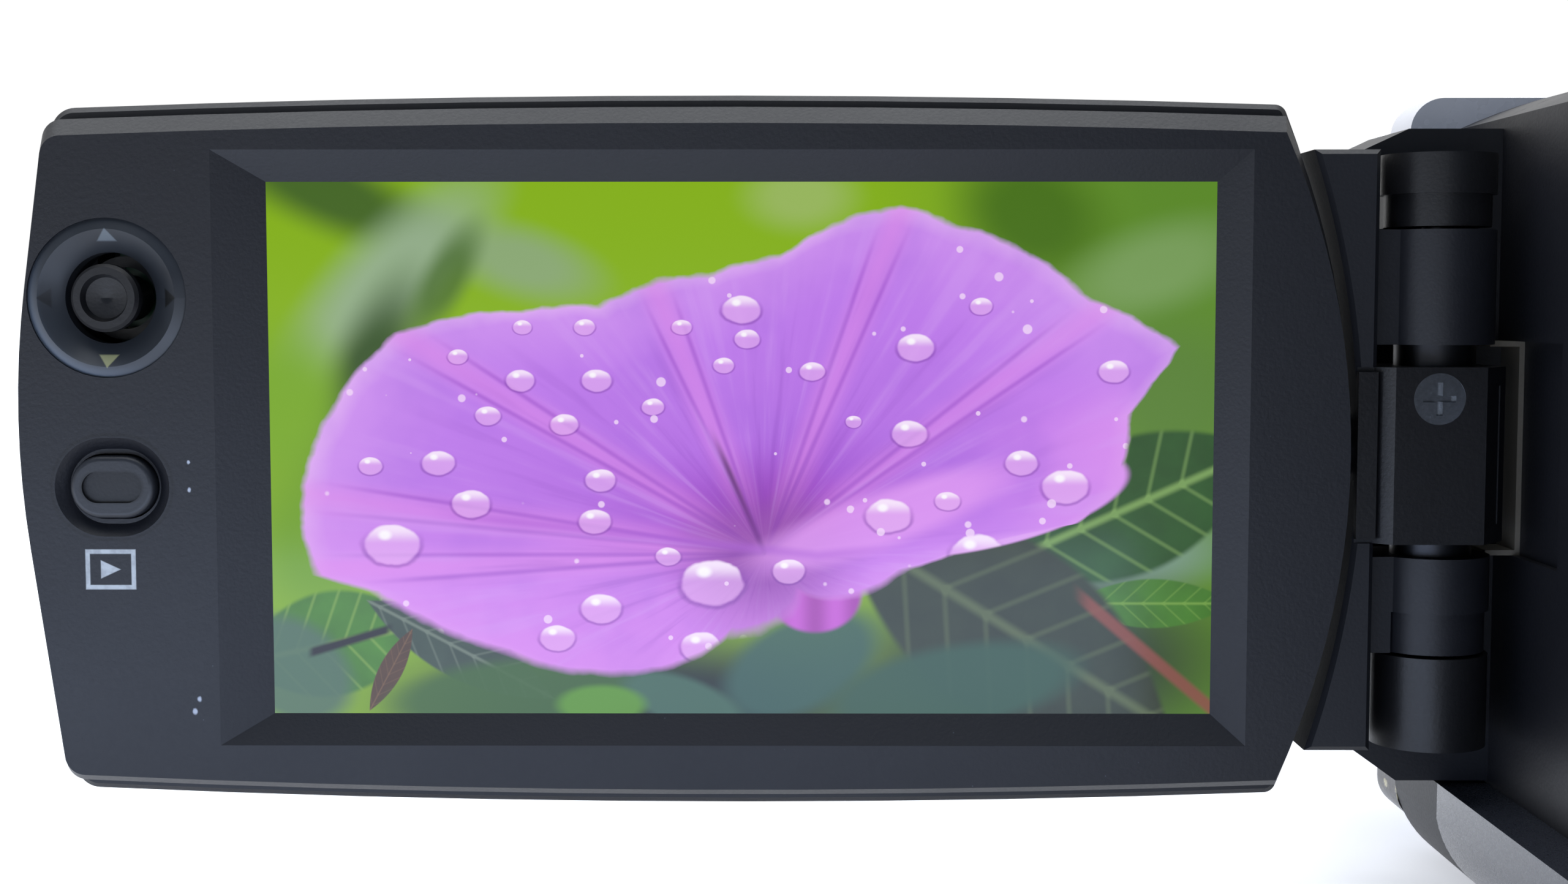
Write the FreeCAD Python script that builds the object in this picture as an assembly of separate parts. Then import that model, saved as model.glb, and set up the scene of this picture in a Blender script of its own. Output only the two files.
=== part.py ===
import FreeCAD, Part
import math
import os

# A palm camcorder with its viewing panel swung out.
# Millimetres. Z up from the flat base, Y forward along the lens, X to the grip side.

os.makedirs("parts", exist_ok=True)
V = FreeCAD.Vector

# ---- driving dimensions
WALL = 1.8
SHELL_REAR = -60.0
SHELL_FRONT = 34.5
REAR_COVER = 3.0
RECESS_X = -12.85
LEDGE_Z = 8.65
RECESS_TOP = 54.1
TOP_SEAM_Z = 52.3
LENS_Z = 29.5
HOUSING_FRONT = 44.0
BAND_FRONT = 50.0
RING_FRONT = 66.0
RING_R = 28.9
OPENING_R = 11.4
BLADE_TRAVEL = 11.8

# ---- viewing panel, upright and facing the rear
PANEL_FRONT = 24.75
PANEL_THICK = 10.5
PANEL_LEFT = -110.2
PANEL_RIGHT = -25.05
PANEL_HALF = 22.9
PANEL_DROP = 0.35
PANEL_CORNER = 1.6
PANEL_HINGE_CORNER = 0.8
GRIP_Z = 1.9
GRIP_R = 60.0
GRIP_REACH = 8.3
RIGHT_BOW = 4.4
END_GAP = 0.15
TILT_Z = 32.4
SWING_X = -18.6
SWING_Y = 30.0
BEZEL_INSET = 0.85
BEZEL_CHAMFER = 1.1
RIM_DEPTH = 2.2
SCREEN = (-94.2, -33.85, 15.25, 49.35)
BEVEL = (-97.4, -31.8, 13.4, 51.3)
BEVEL_DEPTH = 1.2
STICK_X = -104.1
STICK_Z = 42.0
STICK_Y = 29.0
BUTTON_X = -104.0
BUTTON_Z = 30.0

# ---- clearances
RUN = 0.06
SEAM = 0.5
GUIDE = 0.2

BARREL_R = 3.75
PIN_R = 1.0
SHAFT_R = 2.0
BARREL_TOP = 51.3
BARREL_BOTTOM = 12.6
NECK_UP = 19.0
NECK_DOWN = 19.6
NECK_RIGHT = -23.45
BLOCK_LEFT = -23.6
CAP_STEP = 48.7
GROOVE = (18.9, 21.6)
SLEEVE_TOP = 46.4
UPPER_SLEEVE = 39.0
LOWER_SLEEVE = 25.2
SLEEVE_BOTTOM = 18.9
BLOCK = (26.3, 37.6)
SWEEP_R = 5.9
NOTCH = (24.9, 39.15)
NOTCH_FLOOR = -12.3
TRIM_T = 0.35


def box(x0, x1, y0, y1, z0, z1):
    return Part.makeBox(x1 - x0, y1 - y0, z1 - z0, V(x0, y0, z0))


def rod_x(r, x0, x1, y, z):
    return Part.makeCylinder(r, x1 - x0, V(x0, y, z), V(1, 0, 0))


def rod_y(r, y0, y1, x, z):
    return Part.makeCylinder(r, y1 - y0, V(x, y0, z), V(0, 1, 0))


def rod_z(r, z0, z1, x, y):
    return Part.makeCylinder(r, z1 - z0, V(x, y, z0), V(0, 0, 1))


def fuse(shapes):
    return shapes[0].fuse(shapes[1:]).removeSplitter()


def cut(shape, tools):
    return shape.cut(tools)


def export(name, shape):
    if shape.ShapeType == "Compound" and len(shape.Solids) == 1:
        shape = shape.Solids[0]
    shape.exportStep("parts/" + name + ".step")


def is_sharp(shape, edge):
    point = edge.valueAt(edge.FirstParameter)
    faces = shape.ancestorsOfType(edge, Part.Face)
    normals = [face.normalAt(*face.Surface.parameter(point)) for face in faces]
    return normals[0].getAngle(normals[1]) > 0.1


def round_along(shape, r, axis):
    """Round every sharp straight edge that runs along an axis."""
    edges = []
    for edge in shape.Edges:
        if edge.Curve.TypeId != "Part::GeomLine":
            continue
        if abs(edge.tangentAt(edge.FirstParameter).dot(axis)) > 0.999 and is_sharp(shape, edge):
            edges.append(edge)
    return shape.makeFillet(r, edges)


def rim_edges(shape, y):
    return [e for e in shape.Edges if abs(e.BoundBox.YMin - y) < 1e-5 and abs(e.BoundBox.YMax - y) < 1e-5]


def outline(start, steps):
    """Closed XZ face. A step is an end point, or a pair for an arc: a point on it and its end."""
    edges = []
    here = V(start[0], 0, start[1])
    for step in steps:
        if isinstance(step[0], tuple):
            mid = V(step[0][0], 0, step[0][1])
            end = V(step[1][0], 0, step[1][1])
            edges.append(Part.Arc(here, mid, end).toShape())
        else:
            end = V(step[0], 0, step[1])
            edges.append(Part.makeLine(here, end))
        here = end
    return Part.Face(Part.Wire(edges))


def inset(face, distance):
    return face.makeOffset2D(-distance)


def along_y(face, y0, y1):
    solid = face.extrude(V(0, y1 - y0, 0))
    solid.translate(V(0, y0, 0))
    return solid


def plan(points, z0, z1):
    wire = Part.makePolygon([V(x, y, z0) for x, y in points + points[:1]])
    return Part.Face(wire).extrude(V(0, 0, z1 - z0))


def frame_wire(rect, y):
    x0, x1, z0, z1 = rect
    corners = [(x0, z0), (x1, z0), (x1, z1), (x0, z1), (x0, z0)]
    return Part.makePolygon([V(x, y, z) for x, z in corners])


def turned_y(points, x, z):
    """Solid of revolution about a line along Y; points are (radius, y)."""
    wire = Part.makePolygon([V(x + r, y, z) for r, y in points + points[:1]])
    return Part.Face(wire).revolve(V(x, 0, z), V(0, 1, 0), 360)


# ================================================= body shell
def body_face():
    return outline((RECESS_X, LEDGE_Z), [
        (RECESS_X, RECESS_TOP),
        ((-4, 57.0), (8, 57.6)),
        ((22, 52.5), (27, 38)),
        ((27.6, 27), (25.5, 16)),
        ((21.5, 5.5), (13, 0)),
        (-9, 0),
        ((-13.6, 1.7), (-16.3, 6.2)),
        (-16.3, LEDGE_Z),
        (RECESS_X, LEDGE_Z)])


def shell_ring(y0, y1, wall=WALL):
    outer = along_y(body_face(), y0, y1)
    return outer.cut(along_y(inset(body_face(), wall), y0, y1))


def shell_part(x0, x1, z0, z1):
    """The piece of the shell between two side planes and two heights."""
    return shell_ring(SHELL_REAR, SHELL_FRONT).common(box(x0, x1, SHELL_REAR - 10, SHELL_FRONT + 6, z0, z1))


GRILLE = (-8, 10, 43, 50)
CARD = (-34, -2, 12, 23)
JACKS = (-44, -14, 27.5, 37.5)
POWER = (12.0, 31.0, 3.2)
POCKET_Y = SWING_Y - (SWING_X - STICK_X)
DOOR_T = 1.2
DOOR_GAP = 0.25


def left_casing():
    wall = shell_part(-14, 0, LEDGE_Z, TOP_SEAM_Z)
    backs = [box(RECESS_X + 1.0, RECESS_X + 3.2, SHELL_REAR, -48, 34, 50)]
    backs.append(box(RECESS_X + 1.0, RECESS_X + 2.7, 20, SHELL_FRONT, 23, 41))
    wall = fuse([wall] + backs)
    tools = [rod_x(6.5, RECESS_X - 1, RECESS_X + 1.7, POCKET_Y, STICK_Z)]
    tools.append(box(-14, NOTCH_FLOOR, 23.0, SHELL_FRONT, NOTCH[0], NOTCH[1]))
    tools.append(box(-14, -8, GRILLE[0], GRILLE[1], GRILLE[2], GRILLE[3]))
    tools.append(box(-14, RECESS_X + DOOR_T + DOOR_GAP, CARD[0], CARD[1], CARD[2], CARD[3]))
    tools.append(box(-14, -8, CARD[0] + 3, CARD[1] - 3, CARD[2] + 3, CARD[3] - 2))
    tools.append(box(-14, RECESS_X + DOOR_T + DOOR_GAP, JACKS[0], JACKS[1], JACKS[2], JACKS[3]))
    tools.append(box(-14, -8, JACKS[0] + 2.5, JACKS[1] - 2.5, JACKS[2] + 2.5, JACKS[3] - 2))
    tools.append(rod_x(POWER[2], -14, -8, POWER[0], POWER[1]))
    return cut(wall, tools)


LEVER_AT = (8, -44)
SHUTTER_AT = (8, -27)


def top_cover():
    cap = shell_part(-14, 30, TOP_SEAM_Z, 60)
    pads = [rod_z(8.2, 55.0, 58.1, LEVER_AT[0], LEVER_AT[1])]
    pads.append(rod_z(5.6, 55.0, 58.1, SHUTTER_AT[0], SHUTTER_AT[1]))
    cap = fuse([cap] + pads)
    tools = [rod_z(1.5 + RUN, 54, 59, LEVER_AT[0], LEVER_AT[1])]
    tools.append(rod_z(4.0 + GUIDE, 56.4, 59, SHUTTER_AT[0], SHUTTER_AT[1]))
    tools.append(rod_z(1.4, 54, 59, SHUTTER_AT[0], SHUTTER_AT[1]))
    return cut(cap, tools)


def right_casing():
    return shell_part(0, 30, LEDGE_Z, TOP_SEAM_Z)


SOCKET_R = 5.5
SOCKET_BORE = 3.175
PIN_HOLE = (0, 14, 2.25)
FEET = [(-6, -50), (10, -50), (-6, 28), (10, 28)]


def bottom_cover():
    tray = shell_part(-20, 30, -1, LEDGE_Z)
    bosses = [rod_z(8.0, 0, 8.0, 0, 0), rod_z(4.0, 0, 7.0, PIN_HOLE[0], PIN_HOLE[1])]
    bosses += [rod_z(3.2, 0, LEDGE_Z, x, y) for x, y in FEET]
    tray = fuse([tray] + bosses)
    tools = [rod_z(SOCKET_R, -1, 9, 0, 0), rod_z(PIN_HOLE[2], -1, 5.5, PIN_HOLE[0], PIN_HOLE[1])]
    tools += [rod_z(2.2, -1, 1.6, x, y) for x, y in FEET]
    tools += [rod_z(0.9, -1, 9, x, y) for x, y in FEET]
    return cut(tray, tools)


def tripod_socket():
    insert = rod_z(SOCKET_R, 0, LEDGE_Z + 0.35, 0, 0)
    return insert.cut(rod_z(SOCKET_BORE, -1, 7.5, 0, 0))


def casing_screws():
    screws = []
    for x, y in FEET:
        head = rod_z(2.1, 0.35, 1.6, x, y)
        slots = [box(x - 1.2, x + 1.2, y - 0.25, y + 0.25, 0.3, 0.9)]
        slots.append(box(x - 0.25, x + 0.25, y - 1.2, y + 1.2, 0.3, 0.9))
        screws.append(head.cut(slots).fuse(rod_z(0.9, 1.6, LEDGE_Z, x, y)).removeSplitter())
    return Part.makeCompound(screws)


CHASSIS = (LEDGE_Z + 0.35, LEDGE_Z + 1.85)


def chassis_plate():
    inner = along_y(inset(body_face(), WALL), SHELL_REAR, SHELL_FRONT)
    plate = inner.common(box(RECESS_X + WALL, 26, SHELL_REAR + 2, SHELL_FRONT - 1.5, CHASSIS[0], CHASSIS[1]))
    pads = [rod_z(3.0, LEDGE_Z, CHASSIS[1], x, y) for x, y in FEET]
    uprights = [box(-8, 8, 20, 21.5, CHASSIS[1] - 0.5, 17), box(-6, 10, -14, -12.5, CHASSIS[1] - 0.5, 42)]
    plate = fuse([plate] + pads + uprights)
    return plate.cut(rod_y(LENS_REAR_R, 15, 25, 0, LENS_Z))


# ================================================= front
def housing_face():
    return outline((-22.2, 11.0), [
        (-22.2, 52.0), (-19.2, 53.4), (-10.0, 53.4), (-10.0, 8.85), (-19.2, 8.85), (-22.2, 11.0)])


def front_housing():
    y0 = SHELL_FRONT
    y1 = HOUSING_FRONT
    outer = fuse([along_y(body_face(), y0, y1), along_y(housing_face(), y0, y1)])
    hollow = along_y(inset(body_face(), WALL), y0 - 1, y1 - 2)
    pocket = box(-20.4, -11.0, y0 + 4, y1 - 2, 10.8, 51.6)
    tools = [hollow, pocket, rod_y(LENS_REAR_R, y0 - 1, y1 + 1, 0, LENS_Z)]
    tools.append(rod_z(SWEEP_R, NOTCH[0], NOTCH[1], SWING_X, SWING_Y))
    return cut(outer, tools)


def chrome_band():
    outer = round_along(box(-16.2, 25.5, HOUSING_FRONT, BAND_FRONT, 3.4, 56.4), 2.4, V(0, 1, 0))
    outer = outer.makeFillet(1.2, rim_edges(outer, BAND_FRONT))
    return outer.cut(rod_y(22.0, HOUSING_FRONT - 1, BAND_FRONT + 1, 0, LENS_Z))


def front_ring():
    inner = RING_R - 4.4
    points = [(22.0, BAND_FRONT), (25.6, BAND_FRONT), (28.0, 58), (RING_R, 62), (RING_R, RING_FRONT - 0.8)]
    points += [(RING_R - 0.8, RING_FRONT), (inner + 1.2, RING_FRONT), (inner, 62), (inner, 57), (22.0, 54)]
    return turned_y(points, 0, LENS_Z)


BEZEL_Y = (59.5, 62.0)


def lens_bezel():
    inner = RING_R - 4.4
    r = OPENING_R
    disc = turned_y([(r, BEZEL_Y[0]), (inner, BEZEL_Y[0]), (inner, BEZEL_Y[1]), (r + 4, BEZEL_Y[1]),
                     (r, BEZEL_Y[0] + 0.8)], 0, LENS_Z)
    lip_r = inner - 0.7
    lip = turned_y([(lip_r, 57), (inner, 57), (inner, BEZEL_Y[0]), (lip_r, BEZEL_Y[0])], 0, LENS_Z)
    disc = fuse([disc, lip])
    tools = [box(-9, 9, BEZEL_Y[0] + 1, 70, LENS_Z - 22.2, LENS_Z - 18.2)]
    tools.append(rod_y(2.6, 50, 70, 16.6, LENS_Z + 11))
    tools.append(box(18.4 - 0.2, 21.4 + 0.2, 50, 70, LENS_Z - 8.2, LENS_Z + 4.2))
    return cut(disc, tools)


def microphone_grille():
    plate = box(-9, 9, BEZEL_Y[0] + 1, BEZEL_Y[1] - 0.3, LENS_Z - 22.2, LENS_Z - 18.2)
    holes = []
    for i in range(11):
        for j in range(2):
            x = -7.5 + 1.5 * i
            holes.append(rod_y(0.4, BEZEL_Y[0] + 1.5, 70, x, LENS_Z - 21.0 + 1.6 * j))
    return plate.cut(holes)


def lamp_window():
    return rod_y(2.6, BEZEL_Y[0], BEZEL_Y[1] - 0.2, 16.6, LENS_Z + 11)


def lens_blade(sign):
    r = OPENING_R + 0.3
    z = LENS_Z + sign * BLADE_TRAVEL
    disc = rod_y(r, 57.6, 58.6, 0, z)
    if sign > 0:
        return disc.common(box(-20, 20, 50, 70, z + 0.05, z + 20))
    return disc.common(box(-20, 20, 50, 70, z - 20, z - 0.05))


def lens_cover_switch():
    slider = box(18.4, 21.4, 58.0, 63.0, LENS_Z - 8.0, LENS_Z)
    ribs = [box(18, 22, 62.5, 64, LENS_Z - 7.2 + 1.6 * i, LENS_Z - 6.4 + 1.6 * i) for i in range(4)]
    return slider.cut(ribs)


# ================================================= lens group
LENS_REAR_R = 9.8
TUBE_BORE = 8.8
FRONT_R = 14.5


def lens_tube():
    points = [(TUBE_BORE, -6), (LENS_REAR_R, -6), (LENS_REAR_R, 44), (FRONT_R, 44), (FRONT_R, 55), (22.0, 55)]
    points += [(22.0, 56.2), (13.0, 56.2), (13.0, 46.2), (TUBE_BORE, 45)]
    return turned_y(points, 0, LENS_Z)


def turned_lens(radius, y0, rim, bulge_front, bulge_rear):
    """A lens disc about the lens line with its two curved faces."""
    blank = rod_y(radius, y0 - bulge_rear, y0 + rim + bulge_front, 0, LENS_Z)
    front_r = (radius * radius + bulge_front * bulge_front) / (2 * bulge_front)
    rear_r = (radius * radius + bulge_rear * bulge_rear) / (2 * bulge_rear)
    front = Part.makeSphere(front_r, V(0, y0 + rim + bulge_front - front_r, LENS_Z), V(1, 0, 0))
    rear = Part.makeSphere(rear_r, V(0, y0 - bulge_rear + rear_r, LENS_Z), V(1, 0, 0))
    return blank.common(front).common(rear)


def front_lens():
    return turned_lens(13.0, 48.0, 3.0, 2.6, 0.6)


def fixed_lens_group():
    ring = rod_y(TUBE_BORE, 33, 38, 0, LENS_Z).cut(rod_y(6.6, 32, 39, 0, LENS_Z))
    ring = ring.cut([rod_y(0.8, 32, 39, x, LENS_Z) for x in (-7.6, 7.6)])
    return Part.makeCompound([ring, turned_lens(6.6, 34.0, 2.4, 0.8, 0.8)])


def guide_shafts():
    return Part.makeCompound([rod_y(0.8, -5.0, 38, x, LENS_Z) for x in (-7.6, 7.6)])


def lens_carrier(y0, length):
    ring = rod_y(TUBE_BORE - GUIDE, y0, y0 + length, 0, LENS_Z)
    ring = ring.cut(rod_y(5.6, y0 - 1, y0 + length + 1, 0, LENS_Z))
    ring = ring.cut([rod_y(0.8 + RUN, y0 - 1, y0 + length + 1, x, LENS_Z) for x in (-7.6, 7.6)])
    return Part.makeCompound([ring, turned_lens(5.6, y0 + 1.0, length - 2.4, 0.6, 0.6)])


def sensor_block():
    block = box(-8.5, 8.5, -12.5, -6.0, LENS_Z - 8.5, LENS_Z + 8.5)
    plug = rod_y(TUBE_BORE, -6.0, -3.5, 0, LENS_Z)
    plug = plug.cut([rod_y(0.8, -5.0, 0, x, LENS_Z) for x in (-7.6, 7.6)])
    window = box(-3.2, 3.2, -5.0, 0, LENS_Z - 2.4, LENS_Z + 2.4)
    return fuse([block, plug]).cut(window)


def main_board():
    board = box(16.0, 17.2, -54, 26, CHASSIS[1], 50)
    chips = [box(17.2, 18.8, -40, -26, 24, 38), box(17.2, 18.4, -16, -6, 30, 40)]
    chips.append(box(14.6, 16.0, -50, -38, 16, 24))
    chips += [box(17.2, 18.2, 4 + 4 * i, 6 + 4 * i, 20, 22) for i in range(4)]
    bracket = box(10, 17.2, -56, -54, CHASSIS[1], 20)
    return fuse([board, bracket] + chips)


# ================================================= rear
BATTERY = (-9.0, 13.0, 9.0, 47.0)
LATCH_TRAVEL = 2.2
RECORD_AT = (19.8, 36.0)
DIAL_AT = (19.0, 20.0)


def rear_cover():
    y0 = SHELL_REAR - REAR_COVER
    plate = along_y(body_face(), y0, SHELL_REAR)
    plate = plate.makeFillet(1.2, rim_edges(plate, y0))
    tools = [rod_y(4.6 + GUIDE, y0 - 1, y0 + 1.8, RECORD_AT[0], RECORD_AT[1])]
    tools.append(rod_y(1.5, y0 - 1, 0, RECORD_AT[0], RECORD_AT[1]))
    tools.append(rod_y(1.6 + RUN, y0 - 1, 0, DIAL_AT[0], DIAL_AT[1]))
    tools.append(box(BATTERY[0] - 0.3, BATTERY[1] + 0.3, y0 - 1, y0 + 1.0, BATTERY[2] - 0.3, 60))
    tools.append(box(-3.2 - LATCH_TRAVEL, 7.2, y0 - 1, y0 + 1.5, 4.6, 7.6))
    return plate.cut(tools)


def battery_pack():
    y1 = SHELL_REAR - REAR_COVER + 0.8
    pack = box(BATTERY[0], BATTERY[1], y1 - 13.5, y1, BATTERY[2], BATTERY[3])
    pack = round_along(pack, 2.4, V(0, 0, 1))
    return pack.cut(box(BATTERY[0] - 1, BATTERY[1] + 1, y1 - 14, y1 - 13.1, 40, 40.6))


def battery_latch():
    y0 = SHELL_REAR - REAR_COVER
    pad = box(-3.0, 7.0, y0 - 0.9, y0 + 1.3, 4.8, 7.4)
    ribs = [box(-2.4 + 2 * i, -1.6 + 2 * i, y0 - 2, y0 - 0.5, 4, 8) for i in range(5)]
    return pad.cut(ribs)


def record_button():
    y0 = SHELL_REAR - REAR_COVER
    cap = rod_y(4.6, y0 - 1.6, y0 + 0.7, RECORD_AT[0], RECORD_AT[1])
    cap = cap.makeFillet(0.7, rim_edges(cap, y0 - 1.6))
    rim = [(1.8, y0 - 2), (2.4, y0 - 2), (2.4, y0 - 1.3), (1.8, y0 - 1.3)]
    ring = turned_y(rim, RECORD_AT[0], RECORD_AT[1])
    return cap.cut(ring).fuse(rod_y(1.4, y0 + 0.7, y0 + 3.4, RECORD_AT[0], RECORD_AT[1])).removeSplitter()


def mode_dial():
    y0 = SHELL_REAR - REAR_COVER
    wheel = rod_y(5.2, y0 - 3.2, y0 - 0.2, DIAL_AT[0], DIAL_AT[1])
    notches = []
    for i in range(20):
        a = 2 * math.pi * i / 20
        x = DIAL_AT[0] + 5.3 * math.cos(a)
        notches.append(rod_y(0.35, y0 - 4, y0, x, DIAL_AT[1] + 5.3 * math.sin(a)))
    wheel = wheel.cut(notches)
    return wheel.fuse(rod_y(1.6, y0 - 0.2, y0 + 4.0, DIAL_AT[0], DIAL_AT[1])).removeSplitter()


# ================================================= controls on top and in the recess
def zoom_lever():
    x, y = LEVER_AT
    disc = rod_z(6.6, 58.3, 60.4, x, y)
    tab = round_along(box(x + 3, x + 12.0, y - 2.0, y + 2.0, 58.3, 61.4), 1.2, V(0, 0, 1))
    return fuse([disc, tab, rod_z(1.5, 54.6, 58.4, x, y)])


def photo_button():
    x, y = SHUTTER_AT
    cap = rod_z(4.0, 57.1, 59.2, x, y)
    top = [e for e in cap.Edges if abs(e.BoundBox.ZMin - 59.2) < 1e-5]
    return cap.makeFillet(0.6, top)


def power_button():
    y, z, r = POWER
    cap = rod_x(r - GUIDE, RECESS_X + 0.1, RECESS_X + 2.2, y, z)
    dish = Part.makeSphere(9.0, V(RECESS_X + 0.6 - 9.0, y, z))
    return cap.cut(dish)


def recess_door(area):
    y0, y1, z0, z1 = area
    g = DOOR_GAP
    x0 = RECESS_X + 0.05
    x1 = RECESS_X + DOOR_T
    door = box(x0, x1, y0 + g, y1 - g, z0 + g, z1 - g)
    return door.cut(box(x0 - 1, x0 + 0.5, y0 + 12, y1 - 12, z1 - 1.6, z1))


def jack_block():
    y0, y1, z0, z1 = JACKS
    block = box(-11.3, -4.0, y0 + 2.5, y1 - 2.5, z0 + 2.5, z1 - 2.0)
    tools = [rod_x(1.75, -12, -5, y0 + 6, 33)]
    tools.append(box(-12, -6, y0 + 11, y0 + 19, 31, 35))
    tools.append(rod_x(1.75, -12, -5, y0 + 24, 33))
    return block.cut(tools)


def speaker_grille():
    y0, y1, z0, z1 = GRILLE
    plate = box(RECESS_X + 0.2, RECESS_X + WALL, y0, y1, z0, z1)
    holes = []
    for i in range(9):
        for j in range(3):
            holes.append(rod_x(0.5, -14, -8, y0 + 1.8 + 1.8 * i, z0 + 1.7 + 1.8 * j))
    return plate.cut(holes)


# ================================================= hand strap
BAR_X = 30.6
BARS = (-54.0, 26.0)


def strap_bars():
    bars = []
    for y in BARS:
        bar = rod_z(1.3, 17, 43, BAR_X, y)
        feet = [box(24.6, BAR_X + 0.9, y - 1.1, y + 1.1, z, z + 2.4) for z in (15.6, 42.0)]
        bars.append(fuse([bar] + feet))
    casing = along_y(body_face(), SHELL_REAR - 10, SHELL_FRONT + 6)
    return Part.makeCompound([bar.cut(casing) for bar in bars])


def strap_band(offset, thick, y0, y1, z0, z1):
    """A bowed band beside the grip; offset is how far inside the webbing it lies."""
    mid_y = (BARS[0] + BARS[1]) / 2
    depth = 17.0
    half = (BARS[1] - BARS[0]) / 2
    radius = (half * half + depth * depth) / (2 * depth)
    centre_x = BAR_X + depth - radius + 1.6
    outer = rod_z(radius - offset, z0, z1, centre_x, mid_y)
    inner = rod_z(radius - offset - thick, z0 - 1, z1 + 1, centre_x, mid_y)
    return outer.cut(inner).common(box(BAR_X - 4, 80, y0, y1, z0, z1))


def strap_webbing():
    band = strap_band(0.0, 1.6, BARS[0] - 1.0, BARS[1] + 1.0, 19, 41)
    loops = []
    for y in BARS:
        loops.append(rod_z(2.6, 19, 41, BAR_X, y).cut(rod_z(1.3, 18, 42, BAR_X, y)))
    band = band.cut([rod_z(1.3, 18, 42, BAR_X, y) for y in BARS])
    return fuse([band] + loops)


def strap_pad():
    pad = strap_band(1.6, 6.0, -44, 16, 14, 46)
    return pad


# ================================================= hinge, fixed side
def hinge_mount():
    caps = [rod_z(3.4, SLEEVE_TOP + 0.2, CAP_STEP, SWING_X, SWING_Y)]
    caps.append(rod_z(3.7, CAP_STEP, BARREL_TOP, SWING_X, SWING_Y))
    caps.append(rod_z(BARREL_R, BARREL_BOTTOM, SLEEVE_BOTTOM - 0.2, SWING_X, SWING_Y))
    webs = [box(-21.6, -15.4, SWING_Y, SHELL_FRONT, SLEEVE_TOP + 0.2, BARREL_TOP - 0.5)]
    webs.append(box(-21.8, -15.2, SWING_Y, SHELL_FRONT, BARREL_BOTTOM + 0.5, SLEEVE_BOTTOM - 0.2))
    mount = fuse(caps + webs)
    return mount.cut(rod_z(PIN_R, 0, 60, SWING_X, SWING_Y))


def hinge_pin():
    return rod_z(PIN_R, BARREL_BOTTOM + 0.6, BARREL_TOP - 0.6, SWING_X, SWING_Y)


def hinge_slot_trim():
    z0, z1 = NOTCH
    y0 = SWING_Y + 1.0
    upright = box(NOTCH_FLOOR - TRIM_T, NOTCH_FLOOR, y0, SHELL_FRONT, z0, z1)
    arms = [box(-14.6, NOTCH_FLOOR, y0, SHELL_FRONT, z, z + TRIM_T) for z in (z0, z1 - TRIM_T)]
    return fuse([upright] + arms)


# ================================================= hinge, swinging side
def hinge_bracket():
    x = SWING_X
    y = SWING_Y
    core = box(-22.2, -15.4, y - 3.4, y + 3.4, BLOCK[0] + 1.2, BLOCK[1] - 1.2)
    parts = [core, rod_x(3.3, PANEL_RIGHT + SEAM, -22.0, y, TILT_Z)]
    parts.append(rod_z(2.6, SLEEVE_BOTTOM, SLEEVE_TOP, x, y))
    bracket = fuse(parts)
    tools = [rod_z(PIN_R + RUN, 0, 60, x, y), rod_x(SHAFT_R + RUN, -26, -20.6, y, TILT_Z)]
    tools.append(rod_y(0.7, y - 5, y - 1.6, -19.7, 35.6))
    return bracket.cut(tools)


def neck_face():
    high = TILT_Z + NECK_UP
    low = TILT_Z - NECK_DOWN
    left = PANEL_RIGHT + SEAM - 3.1
    return outline((left, low), [
        ((PANEL_RIGHT + SEAM, TILT_Z), (left, high)),
        (NECK_RIGHT, high), (NECK_RIGHT, low), (left, low)])


def hinge_cover(front):
    x = SWING_X
    y = SWING_Y
    neck = along_y(neck_face(), y - 4, y + 4)
    neck = neck.makeChamfer(0.3, rim_edges(neck, y - 4))
    parts = [neck]
    for z0, z1 in ((UPPER_SLEEVE, SLEEVE_TOP), (SLEEVE_BOTTOM, LOWER_SLEEVE)):
        parts.append(rod_z(BARREL_R, z0, z1, x, y))
        parts.append(box(NECK_RIGHT - 0.5, x, y - 2.2, y + 3.4, z0, z1))
    cover = fuse(parts)
    groove = rod_z(BARREL_R + 1, GROOVE[0], GROOVE[1], x, y).cut(rod_z(BARREL_R - 0.25, 0, 60, x, y))
    tools = [rod_z(2.6, 0, 60, x, y), rod_x(3.3, -30, -20, y, TILT_Z)]
    tools.append(box(BLOCK_LEFT, -10, 20, 40, BLOCK[0], BLOCK[1]))
    tools.append(box(-24.8, -10, 20, 26.2, BLOCK[0], BLOCK[1]))
    tools.append(groove.common(box(x - BARREL_R + 0.6, -10, 20, 40, 0, 60)))
    tools.append(box(-30, -10, y, y + 10, 0, 60) if front else box(-30, -10, y - 10, y, 0, 60))
    return cover.cut(tools)


def hinge_block():
    y = SWING_Y
    points = [(BLOCK_LEFT, 26.2), (-22.5, 25.2), (-16.7, 25.2), (-14.8, 27.4), (-14.8, 33.4), (BLOCK_LEFT, 33.4)]
    body = plan(points, BLOCK[0], BLOCK[1])
    flange = box(PANEL_RIGHT + 0.3, -23.5, 25.6, 26.2, BLOCK[0] + 0.3, BLOCK[1] - 0.3)
    body = fuse([body, flange])
    tools = [box(-22.2, -15.4, y - 3.4, y + 3.4, BLOCK[0] + 1.2, BLOCK[1] - 1.2)]
    tools.append(rod_z(2.6, 0, 60, SWING_X, y))
    tools.append(rod_x(3.3, -26, -22, y, TILT_Z))
    tools.append(rod_y(1.65, 25.0, 25.9, -19.7, 35.6))
    tools.append(rod_y(0.7, 25.0, 27.0, -19.7, 35.6))
    return body.cut(tools)


def cross_slots(x, z, y0, y1, reach, width):
    return [box(x - reach, x + reach, y0, y1, z - width, z + width),
            box(x - width, x + width, y0, y1, z - reach, z + reach)]


def hinge_screw():
    head = rod_y(1.65, 25.25, 25.9, -19.7, 35.6).cut(cross_slots(-19.7, 35.6, 25.2, 25.75, 1.05, 0.2))
    return head.fuse(rod_y(0.7, 25.9, 28.4, -19.7, 35.6)).removeSplitter()


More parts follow.
